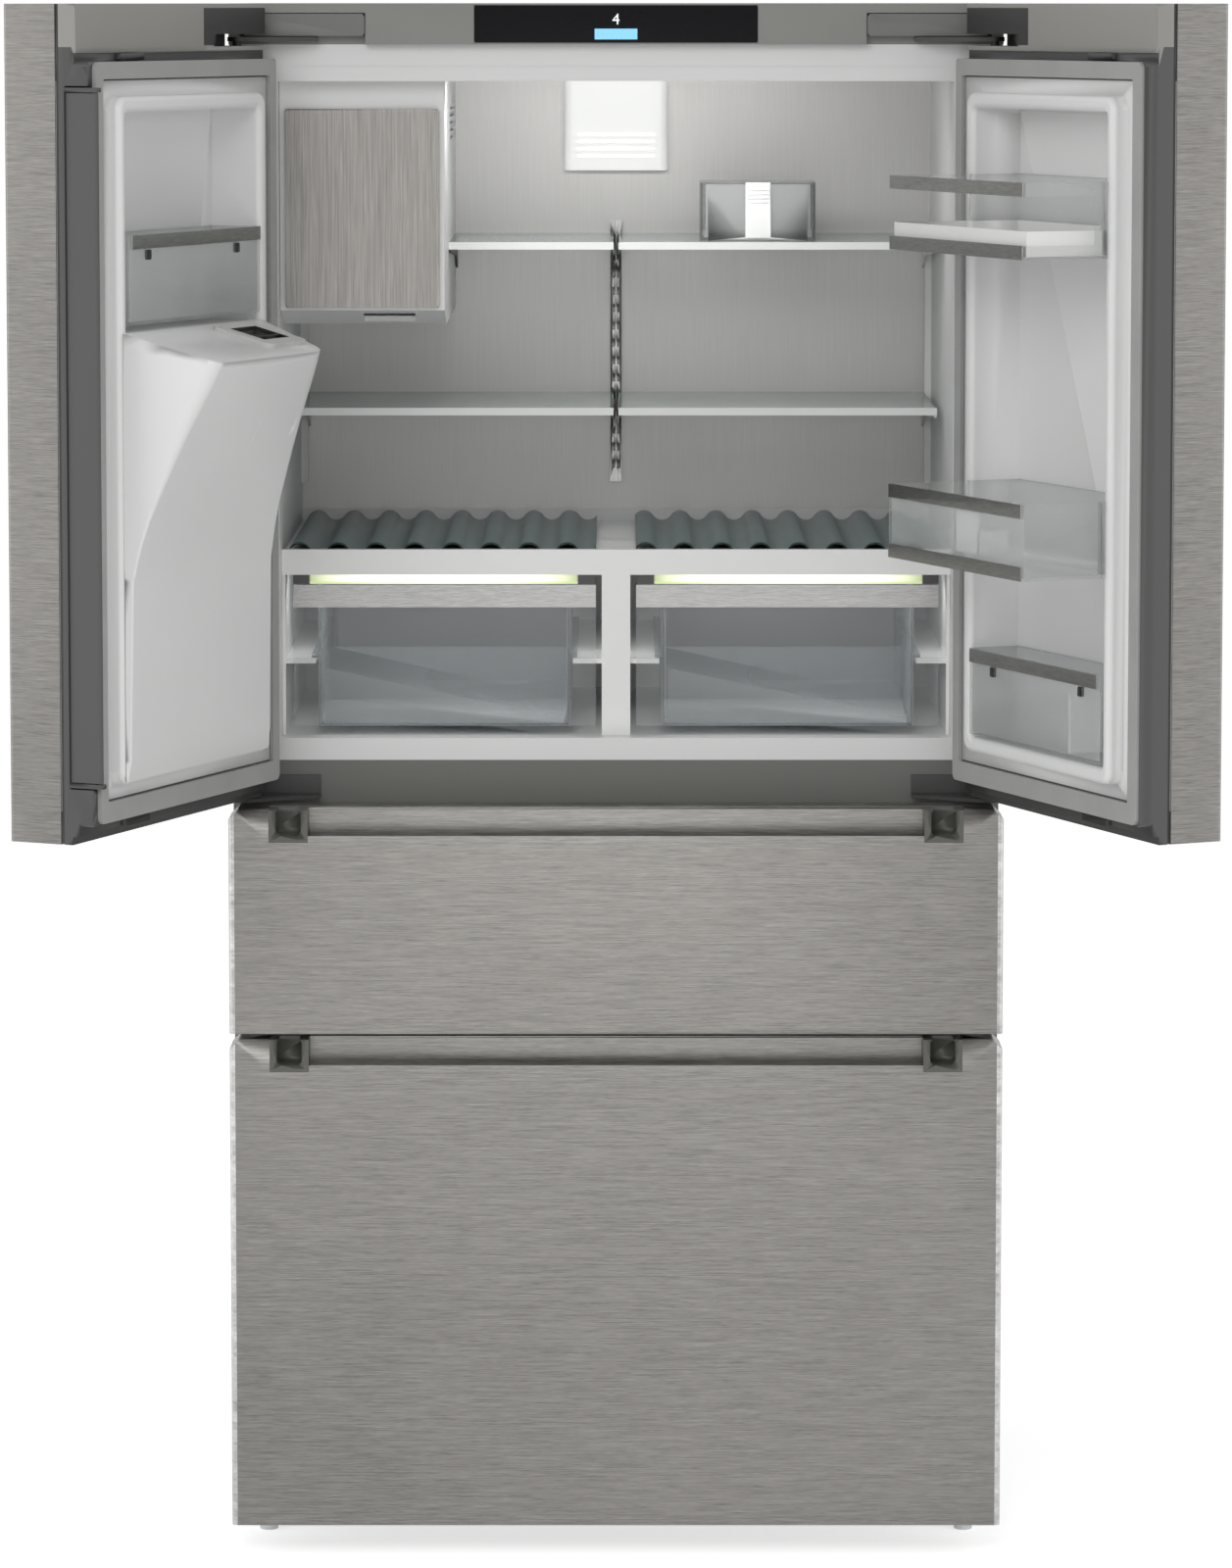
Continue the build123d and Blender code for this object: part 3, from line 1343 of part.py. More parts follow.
# Dispenser niche in the outer face of the left door, with ears for the paddle's pins
paddle_u = ((duct_u[0] + duct_u[1] - paddle_width) / 2, (duct_u[0] + duct_u[1] + paddle_width) / 2)
with BuildPart() as dispenser_niche:
    niche_opening(left_door, Mode.ADD, niche_wall, (door_sheet, niche_back + niche_wall))
    niche_opening(left_door, Mode.ADD, 8, (-1.5, 0))
    niche_opening(left_door, Mode.ADD, -0.3, (-1.5, door_sheet + 1))
    niche_opening(left_door, Mode.SUBTRACT, -0.3 - niche_wall, (-2, niche_back))
    chute_duct(left_door)
    ears = (paddle_u[0] - paddle_play - paddle_ear, paddle_u[1] + paddle_play + paddle_ear)
    for ear in ((ears[0], paddle_u[0] - paddle_play), (paddle_u[1] + paddle_play, ears[1])):
        ear_z = (paddle_pivot_z - 6, paddle_pivot_z + 6)
        ear_depth = (paddle_pivot_d - 6, niche_back + 1)
        block(left_door, ear, ear_depth, ear_z)
        hole = paddle_pin_radius + running_fit
        cross_rod(left_door, ear, paddle_pivot_d, paddle_pivot_z, hole, Mode.SUBTRACT)
write(dispenser_niche, "dispenser_niche")

with BuildPart() as dispenser_paddle:
    paddle_z = (paddle_pivot_z - paddle_height, paddle_pivot_z)
    paddle_d = (paddle_pivot_d - paddle_sheet / 2, paddle_pivot_d + paddle_sheet / 2)
    panel(left_door, paddle_u, paddle_z, paddle_d)
    fillet(dispenser_paddle.edges().filter_by(Axis.Z).group_by(Axis.Z)[0], 1)
    cross_rod(left_door, ears, paddle_pivot_d, paddle_pivot_z, paddle_pin_radius)
write(dispenser_paddle, "dispenser_paddle")

# Mullion flap, folded against the free edge of the open left door
with BuildPart() as mullion_flap:
    flap_u = (mullion_pivot[0] - mullion_sheet / 2, mullion_pivot[0] + mullion_sheet / 2)
    flap_d = (mullion_pivot[1] - mullion_length, mullion_pivot[1])
    block(left_door, flap_u, flap_d, mullion_z)
    upright_rod(left_door, *mullion_pivot, mullion_z, mullion_sheet / 2)
    pin_z = (ear_levels[0][0] + 0.5, ear_levels[1][1] - 0.5)
    upright_rod(left_door, *mullion_pivot, pin_z, mullion_pin_radius)
write(mullion_flap, "mullion_flap")


def rack_plan(frame, side, height, shrink, wide):
    """Plan of a rack between the dyke walls, or spread past them where it is wide."""
    with BuildSketch(frame.offset(height)) as plan:
        back = recess_floor + 0.3
        front = wide_rack_back if wide else dyke_back + rack_proud
        narrow = rack_u[1] - rack_u[0]
        with Locations((side * (rack_u[0] + rack_u[1]) / 2, (back + front) / 2)):
            Rectangle(narrow, front - back)
        if wide:
            spread = wide_rack_u[1] - wide_rack_u[0]
            middle = side * (wide_rack_u[0] + wide_rack_u[1]) / 2
            lip = dyke_back + rack_clearance
            with Locations((middle, (lip + front) / 2)):
                Rectangle(spread, front - lip)
        fillet(plan.vertices().group_by(Axis.Y)[-1], rack_corner)
        if shrink:
            offset(amount=-shrink)
    return plan.sketch


def door_rack(frame, side, z, wide=False, open_band=False):
    """Bottle rack with a floor, thin walls and steel strips on its front."""
    with BuildPart() as rack:
        extrude(rack_plan(frame, side, z[0], 0, wide), amount=z[1] - z[0])
        hollow = rack_plan(frame, side, z[0] + rack_wall, rack_wall, wide)
        extrude(hollow, amount=z[1] - z[0], mode=Mode.SUBTRACT)
        front = wide_rack_back if wide else dyke_back + rack_proud
        ends = wide_rack_u if wide else rack_u
        if open_band:
            between = (side * (ends[0] - 1), side * (ends[1] + 1))
            ahead = (dyke_back + rack_post, front + 1)
            band = (z[0] + strip_height, z[1] - strip_height)
            block(frame, between, ahead, band, Mode.SUBTRACT)
            tray_z = z[0] + rack_wall + wall_clearance
            outer = rack_wall + tray_play
            extrude(rack_plan(frame, side, tray_z, outer, wide), amount=tray_height)
            room = rack_plan(frame, side, tray_z + tray_wall, outer + tray_wall, wide)
            extrude(room, amount=tray_height, mode=Mode.SUBTRACT)
        strip_levels = (z[0], z[1] - strip_height) if wide else (z[1] - strip_height,)
        span = (side * (ends[0] + rack_corner), side * (ends[1] - rack_corner))
        for level in strip_levels:
            panel(frame, span, (level, level + strip_height), (front, front + strip_sheet))
    return rack


write(door_rack(left_door, 1, left_rack_z), "left_door_rack")
write(door_rack(right_door, -1, upper_rack_z, True, True), "upper_right_rack")
write(door_rack(right_door, -1, middle_rack_z, True), "middle_right_rack")
write(door_rack(right_door, -1, lower_rack_z), "lower_right_rack")


def front_outline(z, depth, inset):
    """Front view of a freezer drawer with its top corners cut off."""
    with BuildSketch(facing(cabinet, depth)) as outline:
        with Locations((0, (z[0] + z[1]) / 2)):
            Rectangle(2 * (drawer_half - inset), z[1] - z[0] - 2 * inset)
        chamfer(outline.vertices().group_by(Axis.Y)[-1], front_corner_cut - inset * 0.4)
    return outline.sketch


def grip_notch(z, grow):
    """Cut the long notch in the top edge that takes the grip profile."""
    notch = (z[1] - grip_height - grow, z[1] + 1)
    span = (-grip_half - grow, grip_half + grow)
    block(cabinet, span, (-1, grip_depth + grip_sheet + grow), notch, Mode.SUBTRACT)


def drawer_front(z):
    """Steel front sheet folded round its four edges."""
    with BuildPart() as front:
        extrude(front_outline(z, 0, 0), amount=-front_shell_depth)
        fillet(front.edges().filter_by(Axis.Z).group_by(Axis.Y)[0], front_edge_radius)
        hollow = front_outline(z, door_sheet, door_sheet)
        extrude(hollow, amount=-front_shell_depth, mode=Mode.SUBTRACT)
        grip_notch(z, 0)
    return front


def grip(z):
    """Steel grip channel in the notch, between two plastic end caps."""
    with BuildPart() as handle:
        low, high = z[1] - grip_height, z[1] - 0.3
        back = grip_depth + grip_sheet
        channel = (
            (0.3, low),
            (back, low),
            (back, high),
            (grip_depth - grip_lip, high),
            (grip_depth - grip_lip, high - grip_sheet),
            (grip_depth, high - grip_sheet),
            (grip_depth, low + grip_sheet),
            (grip_sheet, low + grip_sheet),
            (grip_sheet, low + grip_lip),
            (0.3, low + grip_lip),
        )
        middle = grip_half - grip_cap_width
        side_profile(cabinet, (-middle, middle), channel)
        for span in both(middle + 0.2, grip_half):
            block(cabinet, span, (0.3, back), (low, high))
            scoop = (span[0] + grip_scoop_wall, span[1] - grip_scoop_wall)
            scoop_z = (low + grip_scoop_wall, high + 1)
            panel(cabinet, scoop, scoop_z, (-1, grip_depth - 6), Mode.SUBTRACT, corner=6)
    return handle


def drawer_panel(z, inner_z, plug_z):
    """Foamed inner panel of the drawer front, with the plug that enters the compartment."""
    with BuildPart() as inner:
        core = front_outline(z, door_sheet, door_sheet)
        extrude(core, amount=door_sheet - front_shell_depth)
        grip_notch(z, 0)
        span = (-inner_panel_half, inner_panel_half)
        panel(cabinet, span, inner_z, (front_shell_depth, front_inner_back), corner=8)
        plug = (-plug_half, plug_half)
        panel(cabinet, plug, plug_z, (front_inner_back, plug_back), corner=20)
    return inner


def drawer_gasket(inner_z):
    """Soft seal round the back of the inner panel."""
    with BuildPart() as gasket:
        span = (-inner_panel_half, inner_panel_half)
        depth = (front_inner_back, sealing_depth - seal_gap)
        panel(cabinet, span, inner_z, depth, corner=8)
        band = drawer_gasket_band
        inside = (-inner_panel_half + band, inner_panel_half - band)
        inside_z = (inner_z[0] + band, inner_z[1] - band)
        cut = (front_inner_back - 1, sealing_depth)
        panel(cabinet, inside, inside_z, cut, Mode.SUBTRACT, corner=3)
    return gasket


def runner_tongues(level):
    """Brackets and tongues on both sides of a basket."""
    for side in (-1, 1):
        length = (runner_front + 6, basket_back - 6)
        bracket = (side * basket_half, side * (opening_half - runner_web - 8))
        block(cabinet, bracket, length, (level - 8, level + 8))
        groove_end = opening_half - runner_web + tongue_half_height
        tongue = (side * (opening_half - runner_web - 10), side * (groove_end - 0.4))
        reach = tongue_half_height - runner_play
        block(cabinet, tongue, length, (level - reach, level + reach))


def basket(profile, z, level):
    """Open basket with the side view given by its profile, carried on runner tongues."""
    with BuildPart() as tub:
        side_profile(cabinet, (-basket_half, basket_half), profile)
        raised = tuple((d, h if h < z[1] else h + 20) for d, h in profile)
        room = (-basket_half + basket_wall, basket_half - basket_wall)
        side_profile(cabinet, room, raised, Mode.SUBTRACT, grow=-basket_wall)
        slots = int((2 * basket_half - basket_slot_pitch) / basket_slot_pitch) + 1
        with BuildSketch(facing(cabinet, basket_back + 1)) as openings:
            with Locations((0, z[1] - basket_slot_drop - basket_slot[1] / 2)):
                with GridLocations(basket_slot_pitch, 1, slots, 1):
                    RectangleRounded(*basket_slot, 4)
        extrude(openings.sketch, amount=basket_wall + 2, mode=Mode.SUBTRACT)
        runner_tongues(level)
    return tub


def middle_runners(level):
    """Middle members that slide in the fixed channels and guide the tongues."""
    with BuildPart() as members:
        length = (runner_front, runner_front + runner_length - middle_runner_short)
        reach = runner_half_height - runner_sheet - runner_play
        for side in (-1, 1):
            outer = side * (opening_half - runner_sheet - runner_play)
            inner = side * (opening_half - runner_web + 1)
            block(cabinet, (inner, outer), length, (level - reach, level + reach))
            groove = (inner - side, side * (opening_half - runner_web + tongue_half_height))
            groove_length = (length[0] - 1, length[1] + 1)
            groove_z = (level - tongue_half_height, level + tongue_half_height)
            block(cabinet, groove, groove_length, groove_z, Mode.SUBTRACT)
    return members


upper_inner_z = (upper_front_z[0] + drawer_gasket_inset, upper_front_z[1] - drawer_gasket_inset)
lower_inner_z = (casing_bottom + 5, lower_front_z[1] - drawer_gasket_inset)
upper_plug_z = (upper_bay[0] + plug_margin, upper_bay[1] - plug_margin)
lower_plug_z = (lower_bay[0] + plug_margin, lower_bay[1] - plug_margin)
upper_basket = (
    (plug_back, upper_basket_z[0]),
    (basket_back, upper_basket_z[0]),
    (basket_back, upper_basket_z[1]),
    (plug_back, upper_basket_z[1]),
)
lower_basket = (
    (plug_back, lower_basket_z[0]),
    (step_foot - step_gap, lower_basket_z[0]),
    (step_head - step_gap, step_height + step_gap),
    (basket_back, step_height + step_gap),
    (basket_back, lower_basket_z[1]),
    (plug_back, lower_basket_z[1]),
)

write(drawer_front(upper_front_z), "upper_drawer_front")
write(drawer_front(lower_front_z), "lower_drawer_front")
write(grip(upper_front_z), "upper_drawer_grip")
write(grip(lower_front_z), "lower_drawer_grip")
write(drawer_panel(upper_front_z, upper_inner_z, upper_plug_z), "upper_drawer_panel")
write(drawer_panel(lower_front_z, lower_inner_z, lower_plug_z), "lower_drawer_panel")
write(drawer_gasket(upper_inner_z), "upper_drawer_gasket")
write(drawer_gasket(lower_inner_z), "lower_drawer_gasket")
write(basket(upper_basket, upper_basket_z, upper_runner_z), "upper_basket")
write(basket(lower_basket, lower_basket_z, lower_runner_z), "lower_basket")
write(middle_runners(upper_runner_z), "upper_middle_runners")
write(middle_runners(lower_runner_z), "lower_middle_runners")

# Fixed channels of the runners, on both side walls of each freezer compartment
with BuildPart() as fixed_runners:
    length = (runner_front, runner_front + runner_length)
    for level in (upper_runner_z, lower_runner_z):
        for side in (-1, 1):
            wall = side * opening_half
            web = (wall - side * runner_web, wall)
            block(cabinet, web, length, (level - runner_half_height, level + runner_half_height))
            inside = runner_half_height - runner_sheet
            groove = (web[0] - side, wall - side * runner_sheet)
            longer = (length[0] - 1, length[1] + 1)
            block(cabinet, groove, longer, (level - inside, level + inside), Mode.SUBTRACT)
write(fixed_runners, "fixed_runners")
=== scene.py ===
import json
import math

import bmesh
import bpy
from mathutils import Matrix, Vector

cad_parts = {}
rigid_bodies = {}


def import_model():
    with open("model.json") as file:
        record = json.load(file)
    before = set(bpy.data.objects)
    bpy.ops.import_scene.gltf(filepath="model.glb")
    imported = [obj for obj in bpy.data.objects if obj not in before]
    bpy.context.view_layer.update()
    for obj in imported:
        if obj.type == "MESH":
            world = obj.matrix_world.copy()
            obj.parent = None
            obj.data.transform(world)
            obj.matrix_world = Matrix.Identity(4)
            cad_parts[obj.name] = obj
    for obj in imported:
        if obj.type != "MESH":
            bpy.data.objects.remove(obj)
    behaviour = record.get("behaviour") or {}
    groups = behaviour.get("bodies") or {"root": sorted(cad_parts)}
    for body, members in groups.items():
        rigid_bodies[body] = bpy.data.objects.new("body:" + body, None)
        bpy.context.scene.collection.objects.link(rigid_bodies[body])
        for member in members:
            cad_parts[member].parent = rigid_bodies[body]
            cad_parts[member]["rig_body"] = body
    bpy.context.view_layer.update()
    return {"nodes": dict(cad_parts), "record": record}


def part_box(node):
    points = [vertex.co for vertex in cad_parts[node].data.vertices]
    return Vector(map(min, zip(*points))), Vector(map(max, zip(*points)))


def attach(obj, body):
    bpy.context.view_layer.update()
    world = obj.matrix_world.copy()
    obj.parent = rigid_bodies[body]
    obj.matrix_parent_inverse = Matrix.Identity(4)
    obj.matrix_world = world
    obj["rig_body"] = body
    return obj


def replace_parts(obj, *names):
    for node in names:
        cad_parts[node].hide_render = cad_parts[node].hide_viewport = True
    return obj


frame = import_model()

scene = bpy.context.scene
nodes = frame["nodes"]
slots = {row["node"]: row["material_slot"] for row in frame["record"]["subparts"]}

# All lengths are in metres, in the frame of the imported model. In an open door, u runs along its width
# from the hinge and d back from its outer face.

# The photograph's view: its long side and lens in millimetres, and shifts as shares of the long side
photo_long_side = 36.0
photo_lens = 137.45
camera_place = (0.0, -7.125, 1.834)
camera_shift = 0.15
horizon_above_centre = 0.5

# The doors, and how their frames are parted between finishes
door_angle = math.radians(114)
door_origin = (0.492432, -0.079633)
door_side = {"left_door": 1, "right_door": -1}
header_foot = 1.7755
header_front = 0.069
ledges_z = ((1.7665, 1.7755), (0.9075, 0.9185))
catch_u = (0.299, 0.358)
catch_front = 0.0885
# The hinge pocket and a patch of the header over it are painted black as the pocket's shade
hinge_pocket_z = (1.7805, 1.7955)
hinge_pocket_end = 0.131
hinge_pocket_back = 0.0908
hinge_shade_patch_end = 0.152
hinge_shade_patch_z = (1.7825, 1.8250)

# The racks and the ice duct in the doors
rack_fronts = {"narrow": 0.1265, "wide": 0.2290}
rack_strip_lift = 0.0003
rack_rim_depth = 0.0006
rack_tray_limit = 0.040
rack_floor = 0.987
duct_u = (0.154, 0.216)
duct_d = (0.156, 0.200)
duct_black_foot = 1.40
duct_corner_slack = 0.0005
duct_wall_slack = 0.0004

# The cabinet and what stands in it
front_plane = -0.175
fascia_y = -0.0805
fridge_back = 0.465
steel_back_foot = 1.19
steel_back_depths = (0.004, 0.002)
shelf_top = 1.541
side_support_x = 0.38
middle_rail_half = 0.0078
middle_rail_front = 0.4185
strip_centre = 0.205
strip_half = 0.179
strip_foot = 1.1450
fresh_strip_back = 0.1418
fresh_pane_back = 0.1453
fresh_base_top = 0.9755
ice_panel_back = 0.1389
dish_slider_back = 0.0012
dish_base_rise = 0.0148
folded_edge = 0.4475

# How squarely a face looks along an axis, and how far a face is turned to the front
squarely = 0.9
to_front = -0.3

# The angle in degrees past which an edge stays sharp, and the small distances of mesh work
sharp_edge = 32.0
merge_distance = 0.00002
cut_tolerance = 0.00001
broken_edge = 0.0006


def door_axes(side):
    """The directions along and back through an open door."""
    along = Vector((math.cos(door_angle), -side * math.sin(door_angle), 0))
    back = Vector((side * math.sin(door_angle), math.cos(door_angle), 0))
    return along * side, back


def door_point(side, u, d, z):
    """A point in an open door, from its u, d and height."""
    along, back = door_axes(side)
    return Vector((-side * door_origin[0], door_origin[1], z)) + along * u + back * d


def door_place(side, point):
    """The u and d of a point in an open door."""
    along, back = door_axes(side)
    away = point - Vector((-side * door_origin[0], door_origin[1], point.z))
    return away.dot(along), away.dot(back)


def within(value, span, slack=0.0):
    """Whether a value lies in a span, or near it by the slack."""
    return span[0] - slack < value < span[1] + slack


def shaded(tone, share):
    """A tone made darker or lighter, up to white."""
    return [min(1.0, part * share) for part in tone]


# Shader maths

class Value:
    """A socket of a finish. Arithmetic on it adds Math nodes."""

    def __init__(self, finish, socket):
        self.finish = finish
        self.socket = socket

    def math(self, operation, *others):
        return self.finish.add("ShaderNodeMath", {"operation": operation}, (self, *others))

    def swapped(self, operation, first):
        return self.finish.add("ShaderNodeMath", {"operation": operation}, (first, self))

    def __add__(self, other):
        return self.math("ADD", other)

    def __sub__(self, other):
        return self.math("SUBTRACT", other)

    def __mul__(self, other):
        return self.math("MULTIPLY", other)

    def __gt__(self, other):
        return self.math("GREATER_THAN", other)

    def __lt__(self, other):
        return self.math("LESS_THAN", other)

    def __radd__(self, other):
        return self.swapped("ADD", other)

    def __rsub__(self, other):
        return self.swapped("SUBTRACT", other)

    def __rmul__(self, other):
        return self.swapped("MULTIPLY", other)

    def clamped(self):
        return self.math("MAXIMUM", 0.0).math("MINIMUM", 1.0)

    def sized(self):
        return self.math("ABSOLUTE")


class Finish:
    """A material and its nodes."""

    def __init__(self, name):
        self.material = bpy.data.materials.new(name)
        self.material.use_nodes = True
        self.tree = self.material.node_tree
        self.tree.nodes.clear()

    def add(self, kind, settings=None, inputs=None, output=0):
        """Adds a node: its settings first, then the values or links of its sockets."""
        node = self.tree.nodes.new(kind)
        for key, value in (settings or {}).items():
            if key == "stops":
                self.place_stops(node.color_ramp, value)
            else:
                setattr(node, key, value)
        pairs = inputs.items() if isinstance(inputs, dict) else enumerate(inputs or ())
        for key, value in pairs:
            if isinstance(value, Value):
                self.tree.links.new(value.socket, node.inputs[key])
            else:
                node.inputs[key].default_value = value
        if not node.outputs:
            return None
        return Value(self, node.outputs[output])

    @staticmethod
    def place_stops(ramp, stops):
        for extra in range(len(stops) - 2):
            ramp.elements.new(0.5)
        for element, (place, colour) in zip(ramp.elements, stops):
            element.position = place
            element.color = (*colour, 1.0)

    def place(self):
        return self.add("ShaderNodeTexCoord", output="Object")

    def axes(self):
        """The place on the object along X, Y and Z."""
        return [self.add("ShaderNodeSeparateXYZ", None, (self.place(),), axis) for axis in range(3)]

    def stretched(self, scale):
        """The place on the object with each axis scaled."""
        settings = {"operation": "MULTIPLY"}
        return self.add("ShaderNodeVectorMath", settings, (self.place(), scale))

    def noise(self, scale, detail=2.0, roughness=0.5):
        inputs = {"Vector": self.stretched(scale), "Scale": 1.0, "Detail": detail, "Roughness": roughness}
        return self.add("ShaderNodeTexNoise", {"noise_dimensions": "3D"}, inputs)

    def cells(self, size):
        inputs = {"Vector": self.place(), "Scale": 1.0 / size}
        return self.add("ShaderNodeTexVoronoi", None, inputs, "Distance")

    def mix(self, factor, first, second):
        """A colour between two colours."""
        inputs = {0: factor, 6: opaque(first), 7: opaque(second)}
        return self.add("ShaderNodeMix", {"data_type": "RGBA", "clamp_factor": True}, inputs, 2)

    def bump(self, height, distance, strength=1.0):
        inputs = {"Height": height, "Distance": distance, "Strength": strength}
        return self.add("ShaderNodeBump", None, inputs)

    def skin(self, **sockets):
        """The main shader, with each socket named by its label."""
        labels = {}
        for key, value in sockets.items():
            labels[key.replace("_", " ").title().replace("Ior", "IOR")] = value
        return self.add("ShaderNodeBsdfPrincipled", None, labels)

    def done(self, shader):
        self.add("ShaderNodeOutputMaterial", None, {"Surface": shader})
        return self.material


def opaque(colour):
    """A colour with its alpha, or a link as it is."""
    if isinstance(colour, Value):
        return colour
    return (*colour, 1.0)


# Finishes

def brushed_steel(name, tone, grain, dullness=0.34):
    """Brushed steel, its strokes along the axes on which the grain's scale is small."""
    finish = Finish(name)
    strokes = finish.noise(grain, 2.0, 0.65)
    hairs = finish.noise([axis * 3.1 for axis in grain], 1.0)
    cloud = finish.noise((2.2, 2.2, 2.2), 2.0)
    shade = strokes * 1.9 + hairs + cloud * 0.6 - 1.25
    colour = finish.mix(shade, shaded(tone, 0.70), shaded(tone, 1.30))
    rough = dullness - 0.06 + strokes * 0.10 + cloud * 0.04
    normal = finish.bump(strokes * 0.6 + hairs * 0.4, 0.0004, 0.25)
    return finish.done(finish.skin(base_color=colour, metallic=1.0, roughness=rough, normal=normal))


def moulded_plastic(name, tone, dullness=0.38, grain=0.0009, relief=0.00008):
    """Moulded plastic with a fine spark-eroded grain and faint flow marks."""
    finish = Finish(name)
    flow = finish.noise((3.0, 3.0, 5.0), 3.0)
    speck = finish.noise((1 / grain,) * 3, 2.0)
    colour = finish.mix(flow * 0.7 + speck * 0.3, shaded(tone, 0.94), shaded(tone, 1.05))
    rough = dullness + flow * 0.08 - 0.04
    normal = finish.bump(speck, relief, 0.5)
    return finish.done(finish.skin(base_color=colour, roughness=rough, normal=normal))


def painted_sheet(name, tone, dullness=0.42):
    """Powder-coated sheet with an orange-peel surface."""
    finish = Finish(name)
    peel = finish.noise((420.0,) * 3, 1.5)
    cloud = finish.noise((1.5, 1.5, 2.5), 3.0)
    colour = finish.mix(cloud, shaded(tone, 0.93), shaded(tone, 1.06))
    rough = dullness + cloud * 0.08
    normal = finish.bump(peel, 0.00025, 0.35)
    return finish.done(finish.skin(base_color=colour, roughness=rough, normal=normal))


def galvanised(name, tone):
    """Zinc-coated sheet with its crystal pattern."""
    finish = Finish(name)
    crystal = finish.add("ShaderNodeTexVoronoi", None, {"Vector": finish.place(), "Scale": 90.0}, "Color")
    grey = finish.add("ShaderNodeRGBToBW", None, (crystal,))
    cloud = finish.noise((4.0, 4.0, 4.0), 3.0)
    colour = finish.mix(grey * 0.6 + cloud * 0.4, shaded(tone, 0.82), shaded(tone, 1.15))
    rough = 0.38 + grey * 0.14
    normal = finish.bump(cloud, 0.002, 0.15)
    return finish.done(finish.skin(base_color=colour, metallic=0.85, roughness=rough, normal=normal))


def soft_rubber(name, tone):
    """Grey rubber with a dull bloom."""
    finish = Finish(name)
    bloom = finish.noise((14.0, 14.0, 14.0), 3.0)
    fine = finish.noise((1100.0,) * 3, 1.0)
    colour = finish.mix(bloom, shaded(tone, 0.85), shaded(tone, 1.12))
    rough = 0.58 + bloom * 0.16
    normal = finish.bump(fine, 0.0001, 0.4)
    return finish.done(finish.skin(base_color=colour, roughness=rough, normal=normal))


def clear_moulding(name, tone, body=0.16, edge=0.75, dullness=0.08):
    """Clear plastic or glass: faint from the front, reflecting at a glance."""
    finish = Finish(name)
    rim = finish.add("ShaderNodeFresnel", None, {"IOR": 1.5})
    haze = finish.noise((9.0, 9.0, 9.0), 3.0)
    fine = finish.noise((260.0,) * 3, 1.0)
    colour = finish.mix(haze, shaded(tone, 0.94), tone)
    alpha = (body + haze * 0.05 + rim * edge).clamped()
    normal = finish.bump(fine, 0.00006, 0.3)
    rough = dullness + haze * 0.03
    return finish.done(finish.skin(base_color=colour, roughness=rough, alpha=alpha, normal=normal))


def grained_clear(name, tone, body=0.35):
    """Clear plastic with a fine dimpled texture on its base, darker in the middle of each hollow: painted
    shade in the dimples.
    """
    finish = Finish(name)
    rim = finish.add("ShaderNodeFresnel", None, {"IOR": 1.5})
    dimple_and_shade = finish.cells(0.004)
    # The dimpled texture is real; the darker colour in the middle of each hollow is painted shade
    colour = finish.mix(dimple_and_shade * 1.6, shaded(tone, 0.80), tone)
    alpha = (body + dimple_and_shade * 0.25 + rim * 0.6).clamped()
    normal = finish.bump(dimple_and_shade, 0.0008, 0.5)
    return finish.done(finish.skin(base_color=colour, roughness=0.16, alpha=alpha, normal=normal))


def polished_black(name, tone):
    """A smooth black pane with a trace of dust."""
    finish = Finish(name)
    dust = finish.noise((240.0,) * 3, 4.0)
    colour = finish.mix(dust, tone, [part * 1.6 + 0.002 for part in tone])
    rough = 0.10 + dust * 0.05
    return finish.done(finish.skin(base_color=colour, roughness=rough, specular_ior_level=0.08))


def light_strip(name, half_length, centre, low_edge):
    """A light diffuser: white, yellow-green along its foot and ends, in black end brackets."""
    finish = Finish(name)
    across, _, height = finish.axes()
    away = ((across.sized() - centre).sized() * (1.0 / half_length)).clamped()
    colour = finish.add("ShaderNodeValToRGB", {"stops": (
        (0.0, (1.0, 1.0, 0.98)), (0.45, (0.90, 0.93, 0.84)), (0.75, (0.52, 0.57, 0.38)),
        (0.885, (0.27, 0.30, 0.17)), (0.895, (0.008, 0.008, 0.008)),
    )}, (away,))
    foot = (height < low_edge) * (away < 0.89)
    colour = finish.mix(foot * 0.7, colour, (0.32, 0.38, 0.18))
    speck = finish.noise((500.0,) * 3, 1.0)
    shader = finish.skin(base_color=colour, roughness=0.3 + speck * 0.1, emission_color=colour,
                         emission_strength=1.35)
    return finish.done(shader)


def glow(name, tone, strength):
    """A lit sign behind the black pane."""
    finish = Finish(name)
    grain = finish.noise((300.0,) * 3, 1.0)
    colour = finish.mix(grain, shaded(tone, 0.9), tone)
    shader = finish.skin(base_color=colour, roughness=0.3, emission_color=colour,
                         emission_strength=strength)
    return finish.done(shader)


def lit_cover(name, tone, strength):
    """A white moulding that glows softly, with the lamp behind it."""
    finish = Finish(name)
    flow = finish.noise((5.0, 5.0, 7.0), 3.0)
    speck = finish.noise((900.0,) * 3, 1.0)
    colour = finish.mix(flow, shaded(tone, 0.95), tone)
    shader = finish.skin(base_color=colour, roughness=0.34 + flow * 0.06, emission_color=colour,
                         emission_strength=strength, normal=finish.bump(speck, 0.00008, 0.4))
    return finish.done(shader)


